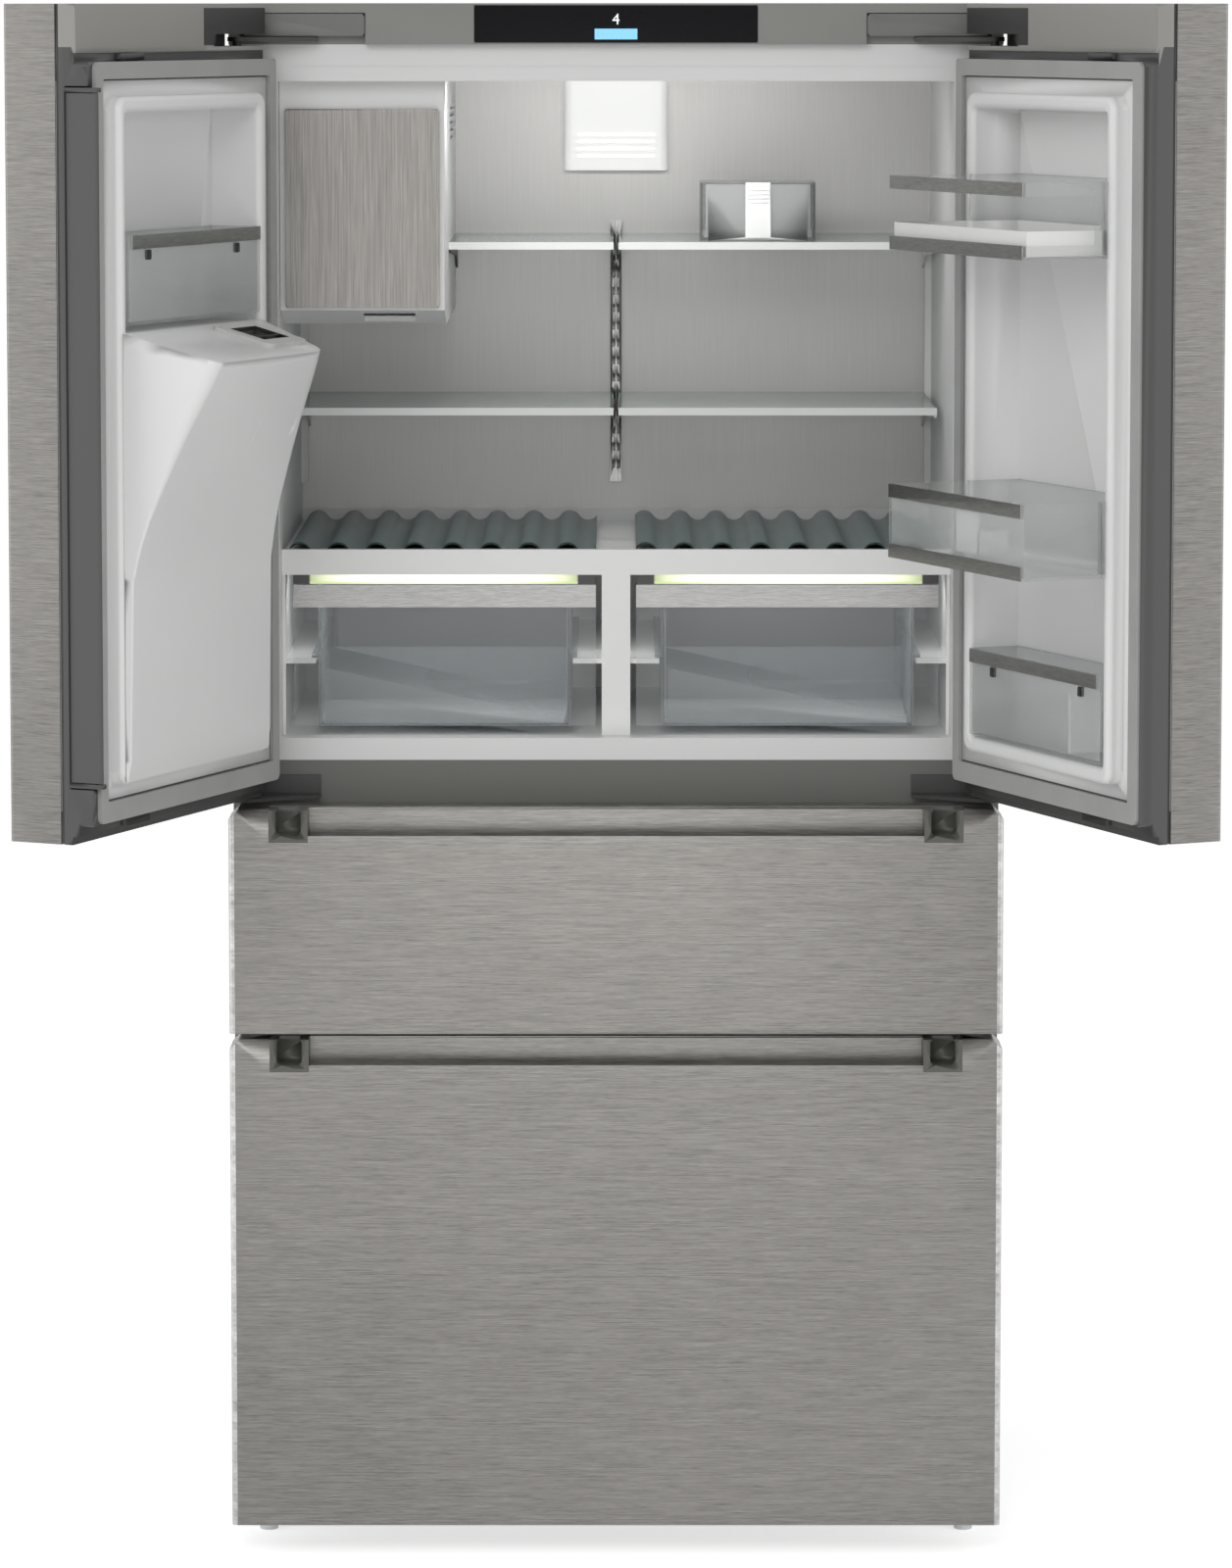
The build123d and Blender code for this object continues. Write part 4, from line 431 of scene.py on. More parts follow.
def liner_with_steel_back(name, tone, steel):
    """The fridge liner: white moulding, with a brushed steel sheet on its back wall."""
    finish = Finish(name)
    _, depth, height = finish.axes()
    strokes = finish.noise((520.0, 30.0, 9.0), 2.0, 0.65)
    cloud = finish.noise((2.0, 2.0, 2.0), 2.0)
    normals = finish.add("ShaderNodeNewGeometry", output="Normal")
    facing = finish.add("ShaderNodeSeparateXYZ", None, (normals,), 1)
    before, behind = steel_back_depths
    at_wall = (depth > fridge_back - before) * (depth < fridge_back + behind)
    on_back = at_wall * (facing.sized() > squarely) * (height > steel_back_foot)
    flow = finish.noise((3.0, 3.0, 5.0), 3.0)
    white = finish.mix(flow, shaded(tone, 0.95), tone)
    metal = finish.mix(strokes * 0.7 + cloud * 0.3, shaded(steel, 0.88), shaded(steel, 1.12))
    colour = finish.mix(on_back, white, metal)
    rough = 0.36 + flow * 0.06 + on_back * 0.10
    fine = finish.noise((900.0,) * 3, 1.0)
    normal = finish.bump(fine, 0.00008, 0.4)
    shader = finish.skin(base_color=colour, metallic=on_back * 0.8, roughness=rough, normal=normal)
    return finish.done(shader)


def corrugated_mat(name, tone):
    """Translucent teal rubber, lighter where it is seen at a glance: a painted sheen from the Fresnel
    factor.
    """
    finish = Finish(name)
    flow = finish.noise((12.0, 12.0, 12.0), 3.0)
    rim = finish.add("ShaderNodeFresnel", None, {"IOR": 1.45})
    # The Fresnel factor lightens the colour towards the silhouette: painted sheen
    colour = finish.mix(flow * 0.7 + rim, shaded(tone, 0.75), shaded(tone, 1.35))
    rough = 0.30 + flow * 0.1
    fine = finish.noise((700.0,) * 3, 1.0)
    normal = finish.bump(fine, 0.0001, 0.4)
    return finish.done(finish.skin(base_color=colour, roughness=rough, normal=normal))


def open_foam(name, tone):
    """Foam with its cells cut open, darker towards the middle of each pit: painted shade in the open pits.
    """
    finish = Finish(name)
    cell_and_shade = finish.cells(0.003)
    # The open cells are real; the darker colour at the bottom of each pit is painted shade
    colour = finish.mix(cell_and_shade * 1.5, shaded(tone, 0.7), tone)
    normal = finish.bump(cell_and_shade, 0.0008, 0.8)
    return finish.done(finish.skin(base_color=colour, roughness=0.85, normal=normal))


flat_grain = (26.0, 26.0, 900.0)
band_grain = (50.0, 50.0, 1500.0)
upright_grain = (700.0, 40.0, 9.0)
front_steel = brushed_steel("front_steel", (0.196, 0.189, 0.178), flat_grain)
# The folded side edges of the drawer fronts: the front steel painted lighter, a painted highlight where
# the fold catches light
edge_steel_painted_highlight = brushed_steel("edge_steel_painted_highlight", (0.46, 0.46, 0.455), (50.0, 50.0, 90.0))
grip_steel = brushed_steel("grip_steel", (0.190, 0.186, 0.175), flat_grain, dullness=0.30)
strip_steel = brushed_steel("strip_steel", (0.34, 0.335, 0.32), band_grain, dullness=0.32)
drawer_strip = brushed_steel("drawer_strip", (0.27, 0.268, 0.262), band_grain)
rail_silver = brushed_steel("rail_silver", (0.42, 0.42, 0.41), (900.0, 900.0, 30.0))
panel_steel = brushed_steel("panel_steel", (0.275, 0.264, 0.250), upright_grain, dullness=0.56)
casing_grey = painted_sheet("casing_grey", (0.225, 0.225, 0.212))
rail_grey = painted_sheet("rail_grey", (0.135, 0.137, 0.125))
zinc_sheet = galvanised("zinc_sheet", (0.52, 0.53, 0.54))
black_enamel = painted_sheet("black_enamel", (0.012, 0.012, 0.013), dullness=0.3)
dark_satin = painted_sheet("dark_satin", (0.035, 0.035, 0.034), dullness=0.45)
bracket_dark = painted_sheet("bracket_dark", (0.06, 0.06, 0.058), dullness=0.38)
frame_grey = moulded_plastic("frame_grey", (0.068, 0.068, 0.068), dullness=0.46)
header_grey = moulded_plastic("header_grey", (0.290, 0.285, 0.268), dullness=0.42)
cover_grey = moulded_plastic("cover_grey", (0.150, 0.150, 0.142), dullness=0.42)
hinge_dark = painted_sheet("hinge_dark", (0.038, 0.038, 0.037), dullness=0.40)
cap_grey = moulded_plastic("cap_grey", (0.088, 0.088, 0.078), dullness=0.40)
white_liner = moulded_plastic("white_liner", (0.79, 0.792, 0.788), dullness=0.38, grain=0.0011)
white_fitting = moulded_plastic("white_fitting", (0.84, 0.84, 0.83), dullness=0.32, grain=0.0011)
lamp_cover = lit_cover("lamp_cover", (0.82, 0.82, 0.81), strength=0.45)
duct_black = moulded_plastic("duct_black", (0.012, 0.012, 0.013), dullness=0.5)
black_plastic = moulded_plastic("black_plastic", (0.018, 0.018, 0.018), dullness=0.45)
niche_grey = moulded_plastic("niche_grey", (0.06, 0.06, 0.062), dullness=0.30)
gasket_grey = soft_rubber("gasket_grey", (0.36, 0.36, 0.355))
collar_grey = soft_rubber("collar_grey", (0.60, 0.60, 0.59))
rack_clear = clear_moulding("rack_clear", (0.74, 0.77, 0.765), body=0.06, edge=0.35)
rack_rim = clear_moulding("rack_rim", (0.30, 0.34, 0.335), body=0.45, edge=0.30)
drawer_pane = clear_moulding("drawer_pane", (0.66, 0.68, 0.69), body=0.07, edge=0.30, dullness=0.16)
drawer_wall = clear_moulding("drawer_wall", (0.50, 0.54, 0.57), body=0.17, edge=0.40, dullness=0.14)
basket_clear = clear_moulding("basket_clear", (0.66, 0.71, 0.73), body=0.16, edge=0.60)
bin_clear = clear_moulding("bin_clear", (0.78, 0.80, 0.80), body=0.35, edge=0.50, dullness=0.16)
dish_smoke = clear_moulding("dish_smoke", (0.30, 0.31, 0.31), body=0.42, edge=0.45, dullness=0.10)
textured_base = grained_clear("textured_base", (0.62, 0.66, 0.68), body=0.42)
shelf_glass = clear_moulding("shelf_glass", (0.70, 0.79, 0.76), body=0.06, edge=0.60, dullness=0.04)
glass_rim = clear_moulding("glass_rim", (0.24, 0.42, 0.38), body=0.60, edge=0.30, dullness=0.06)
shelf_trim = moulded_plastic("shelf_trim", (0.70, 0.71, 0.70), dullness=0.25)
display_black = polished_black("display_black", (0.004, 0.004, 0.005))
liner_finish = liner_with_steel_back("liner_finish", (0.79, 0.792, 0.788), (0.47, 0.463, 0.452))
mat_teal = corrugated_mat("mat_teal", (0.085, 0.125, 0.125))
insulation_foam = open_foam("insulation_foam", (0.80, 0.72, 0.45))
strip_light = light_strip("strip_light", strip_half, strip_centre, strip_foot)
digit_glow = glow("digit_glow", (0.80, 0.84, 0.86), strength=0.6)
status_glow = glow("status_glow", (0.20, 0.52, 0.80), strength=0.7)

finish_of = {
    "cabinet_casing": casing_grey, "insulation": insulation_foam, "fridge_liner": liner_finish,
    "freezer_liner": white_liner, "cross_rail": rail_grey, "display_panel": display_black,
    "door_hinges": hinge_dark, "back_panel": zinc_sheet, "base_frame": zinc_sheet, "feet": zinc_sheet,
    "condenser": dark_satin, "condenser_fan": black_plastic, "fan_motor": zinc_sheet,
    "rear_cover": zinc_sheet, "power_inlet": black_plastic, "shelf_trims": shelf_trim,
    "air_duct_cover": lamp_cover, "divider_frame": white_fitting, "led_strips": strip_light,
    "ice_maker_housing": white_liner, "left_door_shell": front_steel, "left_door_gasket": gasket_grey,
    "dispenser_niche": niche_grey, "mullion_flap": frame_grey, "dispenser_paddle": black_plastic,
    "right_door_shell": front_steel, "right_door_gasket": gasket_grey,
    "upper_drawer_panel": white_liner, "upper_drawer_gasket": gasket_grey, "upper_basket": basket_clear,
    "lower_drawer_panel": white_liner, "lower_drawer_gasket": gasket_grey, "lower_basket": basket_clear,
    "upper_middle_runners": zinc_sheet, "lower_middle_runners": zinc_sheet, "fixed_runners": zinc_sheet,
}
for node, material in finish_of.items():
    nodes[node].data.materials.clear()
    nodes[node].data.materials.append(material)


# Dressed pieces: smooth copies of CAD nodes, many of them with more than one finish

def link(thing):
    """Puts an object in the scene."""
    scene.collection.objects.link(thing)
    return thing


def shells(shape):
    """The separate shells of a mesh, each as a list of faces, in the same order each time."""
    left = dict.fromkeys(shape.faces)
    while left:
        shell, border = [], [left.popitem()[0]]
        while border:
            face = border.pop()
            shell.append(face)
            for edge in face.edges:
                for other in edge.link_faces:
                    if other in left:
                        del left[other]
                        border.append(other)
        yield shell


def parted(shape, planes):
    """Cuts the faces of a mesh along planes, each a point and a direction."""
    for point, direction in planes:
        everything = shape.verts[:] + shape.edges[:] + shape.faces[:]
        bmesh.ops.bisect_plane(shape, geom=everything, dist=cut_tolerance, plane_co=point,
                               plane_no=direction)


def weighted(name, mesh):
    """The mesh with its normals weighted by area, so that wide faces between roundings look flat."""
    holder = link(bpy.data.objects.new(name + "_holder", mesh))
    holder.modifiers.new("flatten", "WEIGHTED_NORMAL").keep_sharp = True
    bpy.context.view_layer.update()
    ready = holder.evaluated_get(bpy.context.evaluated_depsgraph_get())
    flat = bpy.data.meshes.new_from_object(ready)
    flat.name = name
    holder.modifiers.clear()
    bpy.data.objects.remove(holder)
    bpy.data.meshes.remove(mesh)
    return flat


def finished(name, shape, choose, body, slot, smooth=sharp_edge):
    """Makes a mesh a piece that rides on a body. Its faces take the finish that choose gives.

    Edges stay sharp where they turn by more than smooth, in degrees.
    """
    materials = []
    for shell in shells(shape):
        corners = [vertex.co for face in shell for vertex in face.verts]
        low = Vector(min(corner[axis] for corner in corners) for axis in range(3))
        high = Vector(max(corner[axis] for corner in corners) for axis in range(3))
        for face in shell:
            material = choose(face.calc_center_median(), face.normal, low, high)
            if material not in materials:
                materials.append(material)
            face.material_index = materials.index(material)
    mesh = bpy.data.meshes.new(name + "_rough")
    shape.to_mesh(mesh)
    shape.free()
    for material in materials:
        mesh.materials.append(material)
    mesh.shade_smooth()
    mesh.set_sharp_from_angle(angle=math.radians(smooth))
    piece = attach(link(bpy.data.objects.new(name, weighted(name, mesh))), body)
    return piece


def dressed(node, choose, smooth=sharp_edge, planes=()):
    """A merged, smooth copy of a CAD node, which it stands for."""
    shape = bmesh.new()
    shape.from_mesh(nodes[node].data)
    bmesh.ops.remove_doubles(shape, verts=shape.verts, dist=merge_distance)
    parted(shape, planes)
    piece = finished(node + "_dressed", shape, choose, nodes[node]["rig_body"], slots[node], smooth)
    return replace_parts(piece, node)


def plain(material):
    """The same finish all over."""
    return lambda centre, normal, low, high: material


def rack_faces(side, front):
    """Steel strips on the front of a rack, dark rims, and a white tray where it has one."""
    def choose(centre, normal, low, high):
        if high.z - low.z < rack_tray_limit:
            return white_fitting
        if door_place(side, centre)[1] > front + rack_strip_lift:
            return strip_steel
        on_rim = normal.z > squarely and centre.z > high.z - rack_rim_depth
        return rack_rim if on_rim else rack_clear
    return choose


def fresh_drawer_faces(centre, normal, low, high):
    """A steel strip and a clear pane in front, then walls on a dimpled base."""
    depth = centre.y - front_plane
    if depth < fresh_strip_back:
        return drawer_strip
    if depth < fresh_pane_back:
        return drawer_pane
    return textured_base if centre.z < fresh_base_top else drawer_wall


def ice_bin_faces(centre, normal, low, high):
    """A clear bin behind a steel panel."""
    return panel_steel if centre.y - front_plane < ice_panel_back else bin_clear


def dish_faces(centre, normal, low, high):
    """A smoky lid on a white base, with a white slider in front."""
    slider = centre.y < low.y + dish_slider_back
    return white_fitting if slider or centre.z < shelf_top + dish_base_rise else dish_smoke


def grip_faces(centre, normal, low, high):
    """A steel grip between grey end caps, which are shells of their own."""
    return cap_grey if high.x < 0 or low.x > 0 else grip_steel


def fascia_faces(centre, normal, low, high):
    """The fascia, and the hinge covers at its ends, which are shells of their own."""
    return cover_grey if high.x < 0 or low.x > 0 else casing_grey


def frame_faces(side):
    """A door's frame: dark ring, light header, black catches, and the hinge pocket and a patch of the
    header over it painted black as the pocket's shade.
    """
    def choose(centre, normal, low, high):
        u, d = door_place(side, centre)
        on_ledge = any(within(centre.z, ledge) for ledge in ledges_z)
        if on_ledge and d > catch_front and within(u, catch_u):
            return black_plastic
        # The hinge pocket's faces, and a patch of the header's inner face over the pocket, are painted
        # black: painted shade
        if within(centre.z, hinge_pocket_z) and d < hinge_pocket_back and u < hinge_pocket_end:
            return black_plastic
        if centre.z > header_foot and d > header_front:
            faces_back = normal.dot(door_axes(side)[1]) > squarely
            on_shade_patch = faces_back and u < hinge_shade_patch_end and within(centre.z, hinge_shade_patch_z)
            return black_plastic if on_shade_patch else header_grey
        return frame_grey
    return choose


def front_faces(centre, normal, low, high):
    """A drawer front, with a painted highlight where its sheet folds round at the sides: the same steel in
    a lighter tone.
    """
    return edge_steel_painted_highlight if abs(centre.x) > folded_edge and normal.y < to_front else front_steel


def support_faces(centre, normal, low, high):
    """White at the side walls, a silver rail in the middle, dark arms under the shelves."""
    if abs(centre.x) > side_support_x:
        return white_fitting
    on_rail = abs(centre.x) < middle_rail_half and centre.y > middle_rail_front
    return rail_silver if on_rail else bracket_dark


def duct_faces(outer):
    """Black on the upper walls of the ice duct, another finish outside."""
    def choose(centre, normal, low, high):
        u, d = door_place(1, centre)
        inside = within(u, duct_u, duct_corner_slack) and within(d, duct_d, duct_corner_slack)
        gaps = [abs(u - edge) for edge in duct_u] + [abs(d - edge) for edge in duct_d]
        on_wall = inside and centre.z > duct_black_foot and min(gaps) < duct_wall_slack
        return duct_black if on_wall else outer
    return choose


def glass_faces(centre, normal, low, high):
    """Clear from above and below, green at the cut edges."""
    return shelf_glass if abs(normal.z) > squarely else glass_rim


for door, side in door_side.items():
    along = door_axes(side)[0]
    # Cuts at the edges of the painted shade patch over the hinge pocket
    cuts = [(door_point(side, hinge_shade_patch_end, 0.0, 0.0), along)]
    cuts += [((0.0, 0.0, level), (0.0, 0.0, 1.0)) for level in hinge_shade_patch_z]
    dressed(door + "_frame", frame_faces(side), planes=cuts)
    dressed(door + "_liner", plain(white_liner))
for rack, side, front in (
    ("left_door_rack", 1, "narrow"), ("lower_right_rack", -1, "narrow"),
    ("upper_right_rack", -1, "wide"), ("middle_right_rack", -1, "wide"),
):
    dressed(rack, rack_faces(side, rack_fronts[front]))
for drawer in ("left_fresh_drawer", "right_fresh_drawer"):
    dressed(drawer, fresh_drawer_faces)
for grip in ("upper_drawer_grip", "lower_drawer_grip"):
    dressed(grip, grip_faces)
folds = [((x, 0.0, 0.0), (1.0, 0.0, 0.0)) for x in (-folded_edge, folded_edge)]
for front in ("upper_drawer_front", "lower_drawer_front"):
    dressed(front, front_faces, planes=folds)
dressed("top_fascia", fascia_faces)
dressed("ice_bin", ice_bin_faces)
dressed("covered_dish", dish_faces)
dressed("shelf_supports", support_faces)
dressed("glass_shelves", glass_faces)
dressed("chute_housing", duct_faces(white_liner), smooth=48.0)
dressed("chute_collar", duct_faces(collar_grey), smooth=40.0)
dressed("bottle_mats", plain(mat_teal), smooth=60.0)
dressed("compressor", plain(black_enamel), smooth=40.0)
dressed("rear_rollers", plain(black_plastic), smooth=40.0)


# Small pieces

def flat_box(shape, low, high):
    """A box between two corners."""
    for vertex in bmesh.ops.create_cube(shape, size=1.0)["verts"]:
        share = vertex.co + Vector((0.5, 0.5, 0.5))
        vertex.co = Vector(low[axis] + (high[axis] - low[axis]) * share[axis] for axis in range(3))


def on_door(side, boxes):
    """Boxes given by u, d and z on an open door, with their edges broken."""
    shape = bmesh.new()
    for low, high in boxes:
        flat_box(shape, low, high)
    for vertex in shape.verts:
        vertex.co = door_point(side, *vertex.co)
    bmesh.ops.recalc_face_normals(shape, faces=shape.faces)
    bmesh.ops.bevel(shape, geom=shape.edges[:], offset=broken_edge, segments=2, affect="EDGES",
                    clamp_overlap=True)
    return shape


# Louvres across the mouth of the ice duct
louvre_z = (1.4530, 1.4545)
louvre_depth = 0.0035
louvre_fronts = (0.168, 0.184)
louvres = [
    ((duct_u[0], front, louvre_z[0]), (duct_u[1], front + louvre_depth, louvre_z[1]))
    for front in louvre_fronts
]
finished("duct_louvres", on_door(1, louvres), plain(cap_grey), "left_door", "grey_plastic")

# A clip in the middle right rack that holds a bottle: a plate with a bent wing at each side
clip_u = (0.236, 0.290)
clip_back = 0.2238
clip_sheet = 0.0023
clip_z = (1.214, 1.2625)
wing_front = 0.1850
wing_top = 1.2400
clip_boxes = [((clip_u[0], clip_back - clip_sheet, clip_z[0]), (clip_u[1], clip_back, clip_z[1]))]
for u in (clip_u[0], clip_u[1] - clip_sheet):
    clip_boxes.append(((u, wing_front, clip_z[0]), (u + clip_sheet, clip_back, wing_top)))
finished("bottle_clip", on_door(-1, clip_boxes), plain(white_fitting), "right_door", "liner")

# The divider that slides along the lower right rack
divider_u = (0.3165, 0.3200)
divider_d = (0.0800, 0.1215)
divider_z = (rack_floor + 0.0005, rack_floor + 0.0680)
divider = [tuple(zip(divider_u, divider_d, divider_z))]
finished("rack_divider", on_door(-1, divider), plain(white_fitting), "right_door", "liner")

# The outer wall of the ice duct where it bends, which closes the front of the chute housing there.
# Its outline is in d and height, first up the side that shows.
wall_line = ((0.1867, 1.3280), (0.1927, 1.3400), (0.1966, 1.3480), (0.2007, 1.3560), (0.2059, 1.3660),
             (0.2112, 1.3760), (0.2095, 1.3760), (0.1850, 1.3280))
wall_u = (0.1415, 0.2320)
wall = bmesh.new()
ends = [[wall.verts.new(door_point(1, u, d, z)) for d, z in wall_line] for u in wall_u]
wall.faces.new(ends[0])
wall.faces.new(ends[1])
for index in range(len(wall_line)):
    after = (index + 1) % len(wall_line)
    wall.faces.new((ends[0][index], ends[0][after], ends[1][after], ends[1][index]))
bmesh.ops.recalc_face_normals(wall, faces=wall.faces)
finished("duct_wall", wall, plain(white_liner), "left_door", "liner")

# Hooks that carry the racks on the ribs of the liners
hook_u = (0.140, 0.352)
hook_half = 0.004
hook_d = (rack_fronts["narrow"] - 0.0045, rack_fronts["narrow"] + 0.0012)
for name, door, low_z, high_z in (
    ("left_rack_hooks", "left_door", 1.546, 1.557),
    ("lower_right_rack_hooks", "right_door", 1.056, 1.067),
):
    boxes = [((u - hook_half, hook_d[0], low_z), (u + hook_half, hook_d[1], high_z)) for u in hook_u]
    finished(name, on_door(door_side[door], boxes), plain(black_plastic), door, "black_plastic")


# The lit sign on the display: one figure over a plain field
figure_height = 0.013
figure_size = figure_height * 1.4
figure_half_depth = 0.0002
figure_centre = (0.0, fascia_y - 0.0001, 1.8110)
field_low = (-0.0250, fascia_y - 0.0003, 1.7880)
field_high = (0.0250, fascia_y + 0.0002, 1.8005)


def lettering(name, words, size, centre, material):
    """Upright figures that face the front, as a thin plate."""
    curve = bpy.data.curves.new(name, "FONT")
    curve.body = words
    curve.align_x = "CENTER"
    curve.align_y = "CENTER"
    curve.size = size
    curve.extrude = figure_half_depth
    holder = link(bpy.data.objects.new(name + "_curve", curve))
    bpy.context.view_layer.update()
    ready = holder.evaluated_get(bpy.context.evaluated_depsgraph_get())
    shape = bmesh.new()
    flat = bpy.data.meshes.new_from_object(ready)
    shape.from_mesh(flat)
    bpy.data.objects.remove(holder)
    bpy.data.meshes.remove(flat)
    for vertex in shape.verts:
        across, up, out = vertex.co
        vertex.co = Vector((centre[0] + across, centre[1] - out, centre[2] + up))
    bmesh.ops.recalc_face_normals(shape, faces=shape.faces)
    return finished(name, shape, plain(material), "root", "light")


lettering("display_figure", "4", figure_size, figure_centre, digit_glow)
field = bmesh.new()
flat_box(field, field_low, field_high)
finished("display_field", field, plain(status_glow), "root", "light")


# Screws, laid by one tree of geometry nodes

screw_radius = 0.0036
cover_screw_radius = 0.0042
dome_share = 0.55
seat_radius = 0.0042
seat_depth = 0.0006
screw_sharp_edge = 40


def screw_tree(material):
    """A tree that sets a domed screw head with a seat on each point, turned along its normal."""
    tree = bpy.data.node_groups.new("screw_heads", "GeometryNodeTree")
    tree.interface.new_socket("Points", in_out="INPUT", socket_type="NodeSocketGeometry")
    radius = tree.interface.new_socket("Head Radius", in_out="INPUT", socket_type="NodeSocketFloat")
    rise = tree.interface.new_socket("Head Rise", in_out="INPUT", socket_type="NodeSocketFloat")
    tree.interface.new_socket("Heads", in_out="OUTPUT", socket_type="NodeSocketGeometry")

    def add(kind, settings=None, inputs=None):
        node = tree.nodes.new(kind)
        for key, value in (settings or {}).items():
            setattr(node, key, value)
        for key, value in (inputs or {}).items():
            if isinstance(value, bpy.types.NodeSocket):
                tree.links.new(value, node.inputs[key])
            else:
                node.inputs[key].default_value = value
        return node

    given = add("NodeGroupInput")
    dome = add("GeometryNodeMeshUVSphere", None, {"Segments": 16, "Rings": 8, "Radius": 1.0})
    wide, tall = given.outputs[1], given.outputs[2]
    size = add("ShaderNodeCombineXYZ", None, {"X": wide, "Y": wide, "Z": tall})
    head = add("GeometryNodeTransform", None, {"Geometry": dome.outputs["Mesh"], "Scale": size.outputs[0]})
    disc = {"Vertices": 16, "Radius": seat_radius, "Depth": seat_depth}
    seat = add("GeometryNodeMeshCylinder", None, disc)
    both = add("GeometryNodeJoinGeometry")
    tree.links.new(head.outputs[0], both.inputs[0])
    tree.links.new(seat.outputs["Mesh"], both.inputs[0])
    facing = add("GeometryNodeInputNamedAttribute", {"data_type": "FLOAT_VECTOR"}, {"Name": "facing"})
    turn = add("FunctionNodeAlignRotationToVector", {"axis": "Z"}, {"Vector": facing.outputs[0]})
    placed = add("GeometryNodeInstanceOnPoints", None, {
        "Points": given.outputs[0], "Instance": both.outputs[0], "Rotation": turn.outputs[0],
    })
    real = add("GeometryNodeRealizeInstances", None, {"Geometry": placed.outputs[0]})
    painted = add("GeometryNodeSetMaterial", None, {"Geometry": real.outputs[0], "Material": material})
    end = add("NodeGroupOutput")
    tree.links.new(painted.outputs[0], end.inputs[0])
    return tree, radius.identifier, rise.identifier


screw_steel = brushed_steel("screw_steel", (0.42, 0.42, 0.41), (300.0,) * 3, dullness=0.3)
screws, head_radius, head_rise = screw_tree(screw_steel)


def screwed(name, places, facing, body, radius=screw_radius):
    """Screw heads at places on one body, all facing one way, as one plain mesh."""
    points = bpy.data.meshes.new(name + "_points")
    points.from_pydata([tuple(place) for place in places], [], [])
    towards = points.attributes.new("facing", "FLOAT_VECTOR", "POINT")
    for entry in towards.data:
        entry.vector = facing
    holder = link(bpy.data.objects.new(name + "_points", points))
    laid = holder.modifiers.new("screws", "NODES")
    laid.node_group = screws
    laid[head_radius] = radius
    laid[head_rise] = radius * dome_share
    bpy.context.view_layer.update()
    ready = holder.evaluated_get(bpy.context.evaluated_depsgraph_get())
    mesh = bpy.data.meshes.new_from_object(ready)
    holder.modifiers.clear()
    bpy.data.objects.remove(holder)
    mesh.shade_smooth()
    mesh.set_sharp_from_angle(angle=math.radians(screw_sharp_edge))
    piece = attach(link(bpy.data.objects.new(name, mesh)), body)
    return piece


# Screws round the back panel, up both sides and then along its top and foot
back_low, back_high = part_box("back_panel")
rim = 0.012
foot_rim = 0.004
back_face = 0.538
steps_up = 8
steps_along = 5
back_screws = []
for step in range(steps_up + 1):
    z = back_low.z + rim + (back_high.z - back_low.z - 2 * rim) * step / steps_up
    back_screws += [(back_low.x + rim, back_face, z), (back_high.x - rim, back_face, z)]
for step in range(1, steps_along):
    x = back_low.x + rim + (back_high.x - back_low.x - 2 * rim) * step / steps_along
    back_screws += [(x, back_face, back_high.z - rim), (x, back_face, back_low.z + rim + foot_rim)]
screwed("back_screws", back_screws, (0, 1, 0), "root")

# Screws at the ends and in the middle of the rear cover
cover_low, cover_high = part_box("rear_cover")
cover_inset = 0.014
cover_x = (cover_low.x + cover_inset, (cover_low.x + cover_high.x) / 2, cover_high.x - cover_inset)
cover_z = (cover_low.z + 0.012, cover_high.z - 0.010)
cover_screws = [(x, cover_high.y, z) for x in cover_x for z in cover_z]
screwed("cover_screws", cover_screws, (0, 1, 0), "root", cover_screw_radius)


# The studio

def studio_floor():
    """A pale level floor, wide enough for every view, which glows only where it is seen."""
    half = 40.0
    outline = ((-half, -half), (half, -half), (half, half), (-half, half))
    shape = bmesh.new()
    shape.faces.new([shape.verts.new((x, y, 0.0)) for x, y in outline])
    mesh = bpy.data.meshes.new("studio_floor")
    shape.to_mesh(mesh)
    shape.free()
    floor = link(bpy.data.objects.new("studio_floor", mesh))
    finish = Finish("studio_floor")
    seen = [finish.add("ShaderNodeLightPath", output=ray)
            for ray in ("Is Camera Ray", "Is Glossy Ray", "Is Transmission Ray")]
    path = (seen[0] + seen[1] + seen[2]).clamped()
    cloud = finish.noise((0.6, 0.6, 0.6), 2.0)
    colour = finish.mix(cloud, (0.80, 0.80, 0.80), (0.83, 0.83, 0.83))
    lit = finish.mix(path, (0, 0, 0), (1, 1, 1))
    shader = finish.skin(base_color=colour, roughness=0.9, emission_color=lit, emission_strength=0.62)
    mesh.materials.append(finish.done(shader))


def softbox(name, place, target, size, radiance):
    """An area lamp that faces a target, with its brightness as a radiance."""
    lamp = bpy.data.lights.new(name, "AREA")
    lamp.shape = "RECTANGLE"
    lamp.size, lamp.size_y = size
    lamp.energy = radiance * math.pi * size[0] * size[1]
    holder = link(bpy.data.objects.new(name, lamp))
    holder.location = place
    holder.rotation_euler = (Vector(target) - Vector(place)).to_track_quat("-Z", "Y").to_euler()
    holder.visible_camera = False


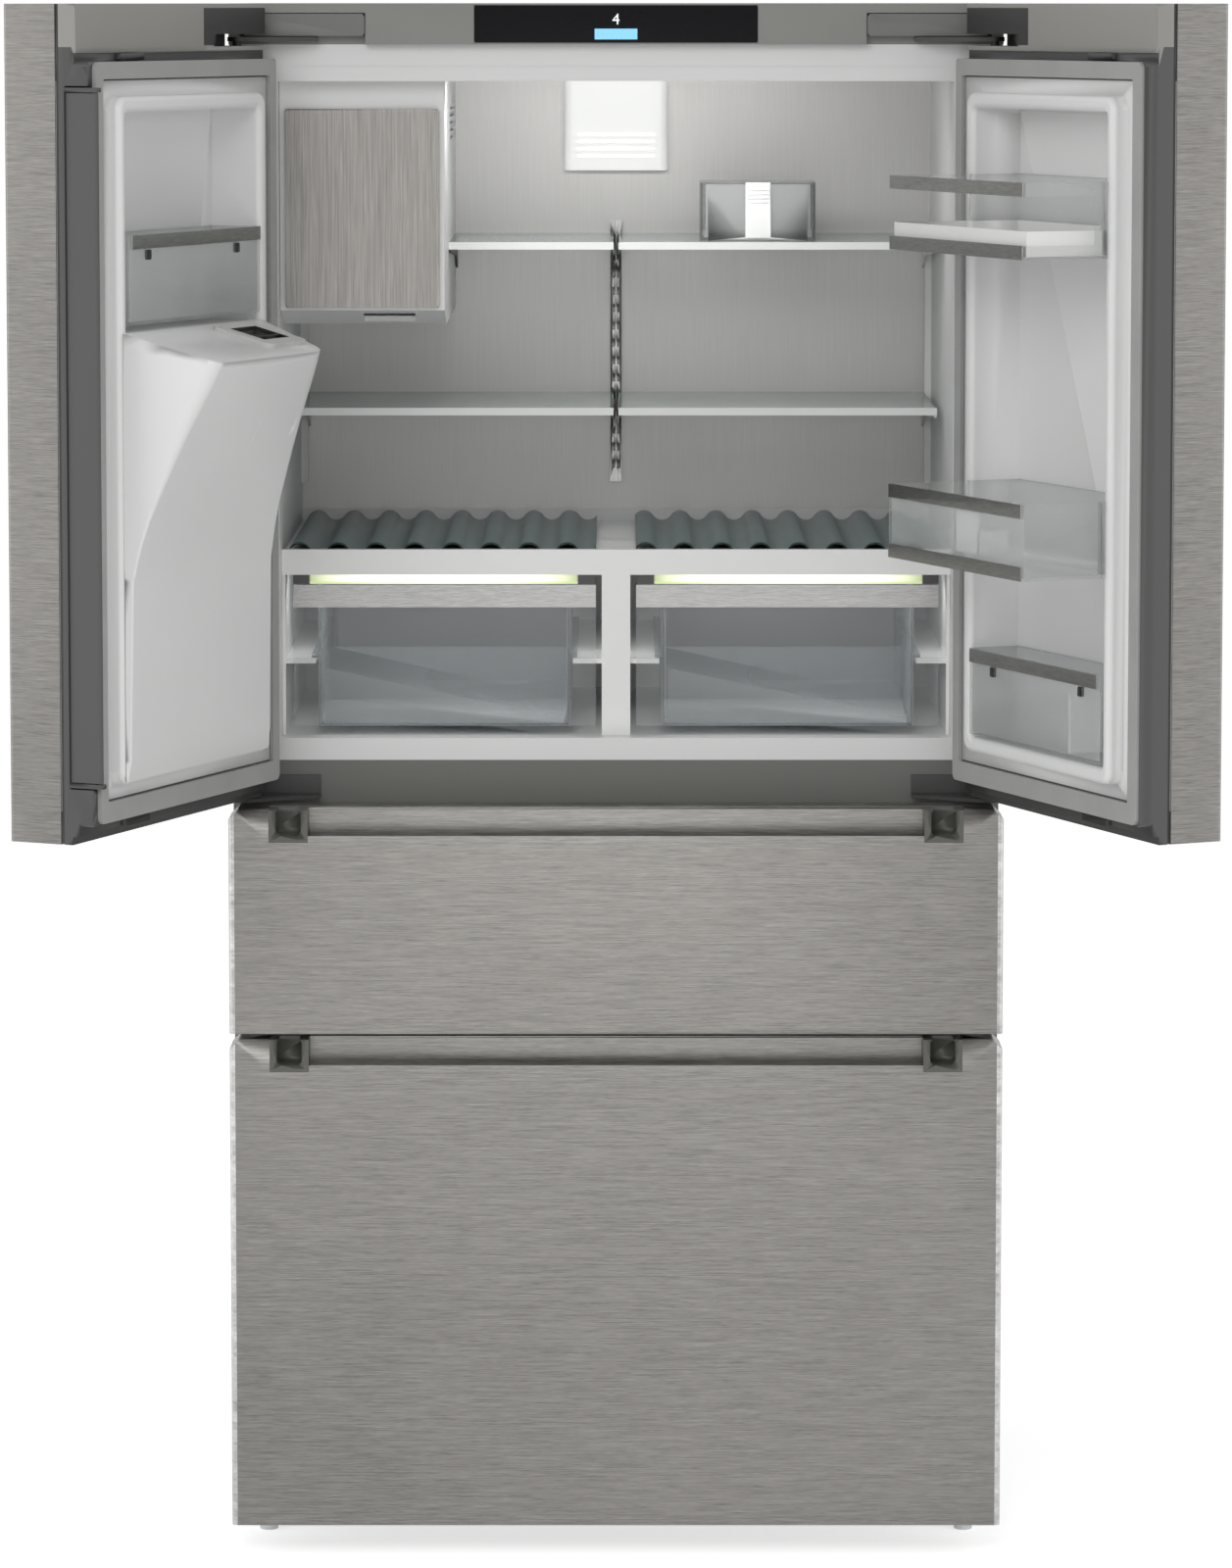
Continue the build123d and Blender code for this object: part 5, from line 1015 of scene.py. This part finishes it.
def pale_world():
    """A world that is white to the eye and in reflections, and softer as a light."""
    world = bpy.data.worlds.new("studio")
    scene.world = world
    world.use_nodes = True
    tree = world.node_tree
    tree.nodes.clear()
    path = tree.nodes.new("ShaderNodeLightPath")
    seen = tree.nodes.new("ShaderNodeMath")
    seen.operation = "MAXIMUM"
    tree.links.new(path.outputs["Is Camera Ray"], seen.inputs[0])
    glossy = tree.nodes.new("ShaderNodeMath")
    glossy.operation = "MAXIMUM"
    tree.links.new(path.outputs["Is Glossy Ray"], glossy.inputs[0])
    tree.links.new(path.outputs["Is Transmission Ray"], glossy.inputs[1])
    tree.links.new(glossy.outputs[0], seen.inputs[1])
    strength = tree.nodes.new("ShaderNodeMapRange")
    strength.inputs["To Min"].default_value = 0.42
    strength.inputs["To Max"].default_value = 1.0
    tree.links.new(seen.outputs[0], strength.inputs["Value"])
    background = tree.nodes.new("ShaderNodeBackground")
    background.inputs["Color"].default_value = (1.0, 1.0, 1.0, 1.0)
    tree.links.new(strength.outputs[0], background.inputs["Strength"])
    output = tree.nodes.new("ShaderNodeOutputWorld")
    tree.links.new(background.outputs[0], output.inputs["Surface"])


def photo_camera():
    """The photograph's camera, tilted down for the part of its shift that isn't kept."""
    camera = bpy.data.cameras.new("camera")
    camera.sensor_width = photo_long_side
    camera.lens = photo_lens
    camera.shift_y = -camera_shift
    holder = link(bpy.data.objects.new("camera", camera))
    pitch = math.atan((horizon_above_centre - camera_shift) * photo_long_side / photo_lens)
    holder.location = camera_place
    holder.rotation_euler = (math.pi / 2 - pitch, 0.0, 0.0)
    scene.camera = holder


photo_camera()
studio_floor()
pale_world()
middle = (0.0, 0.0, 1.0)
softbox("key_softbox", (-1.2, -4.2, 3.3), middle, size=(3.0, 1.8), radiance=3.0)
softbox("left_softbox", (-3.2, -1.0, 1.5), middle, size=(2.0, 2.6), radiance=1.6)
softbox("right_softbox", (3.2, -1.0, 1.5), middle, size=(2.0, 2.6), radiance=1.6)
softbox("front_softbox", (0.0, -2.6, 0.9), (0.0, 0.0, 0.8), size=(0.50, 1.7), radiance=2.2)
softbox("fridge_lamp", (0.0, 0.02, 1.730), (0.0, 0.40, 1.35), size=(0.50, 0.10), radiance=8.0)
for x in (-strip_centre, strip_centre):
    softbox("strip_lamp", (x, 0.010, 1.142), (x, 0.090, 0.980), size=(0.34, 0.020), radiance=14.0)

scene.view_settings.view_transform = "Standard"
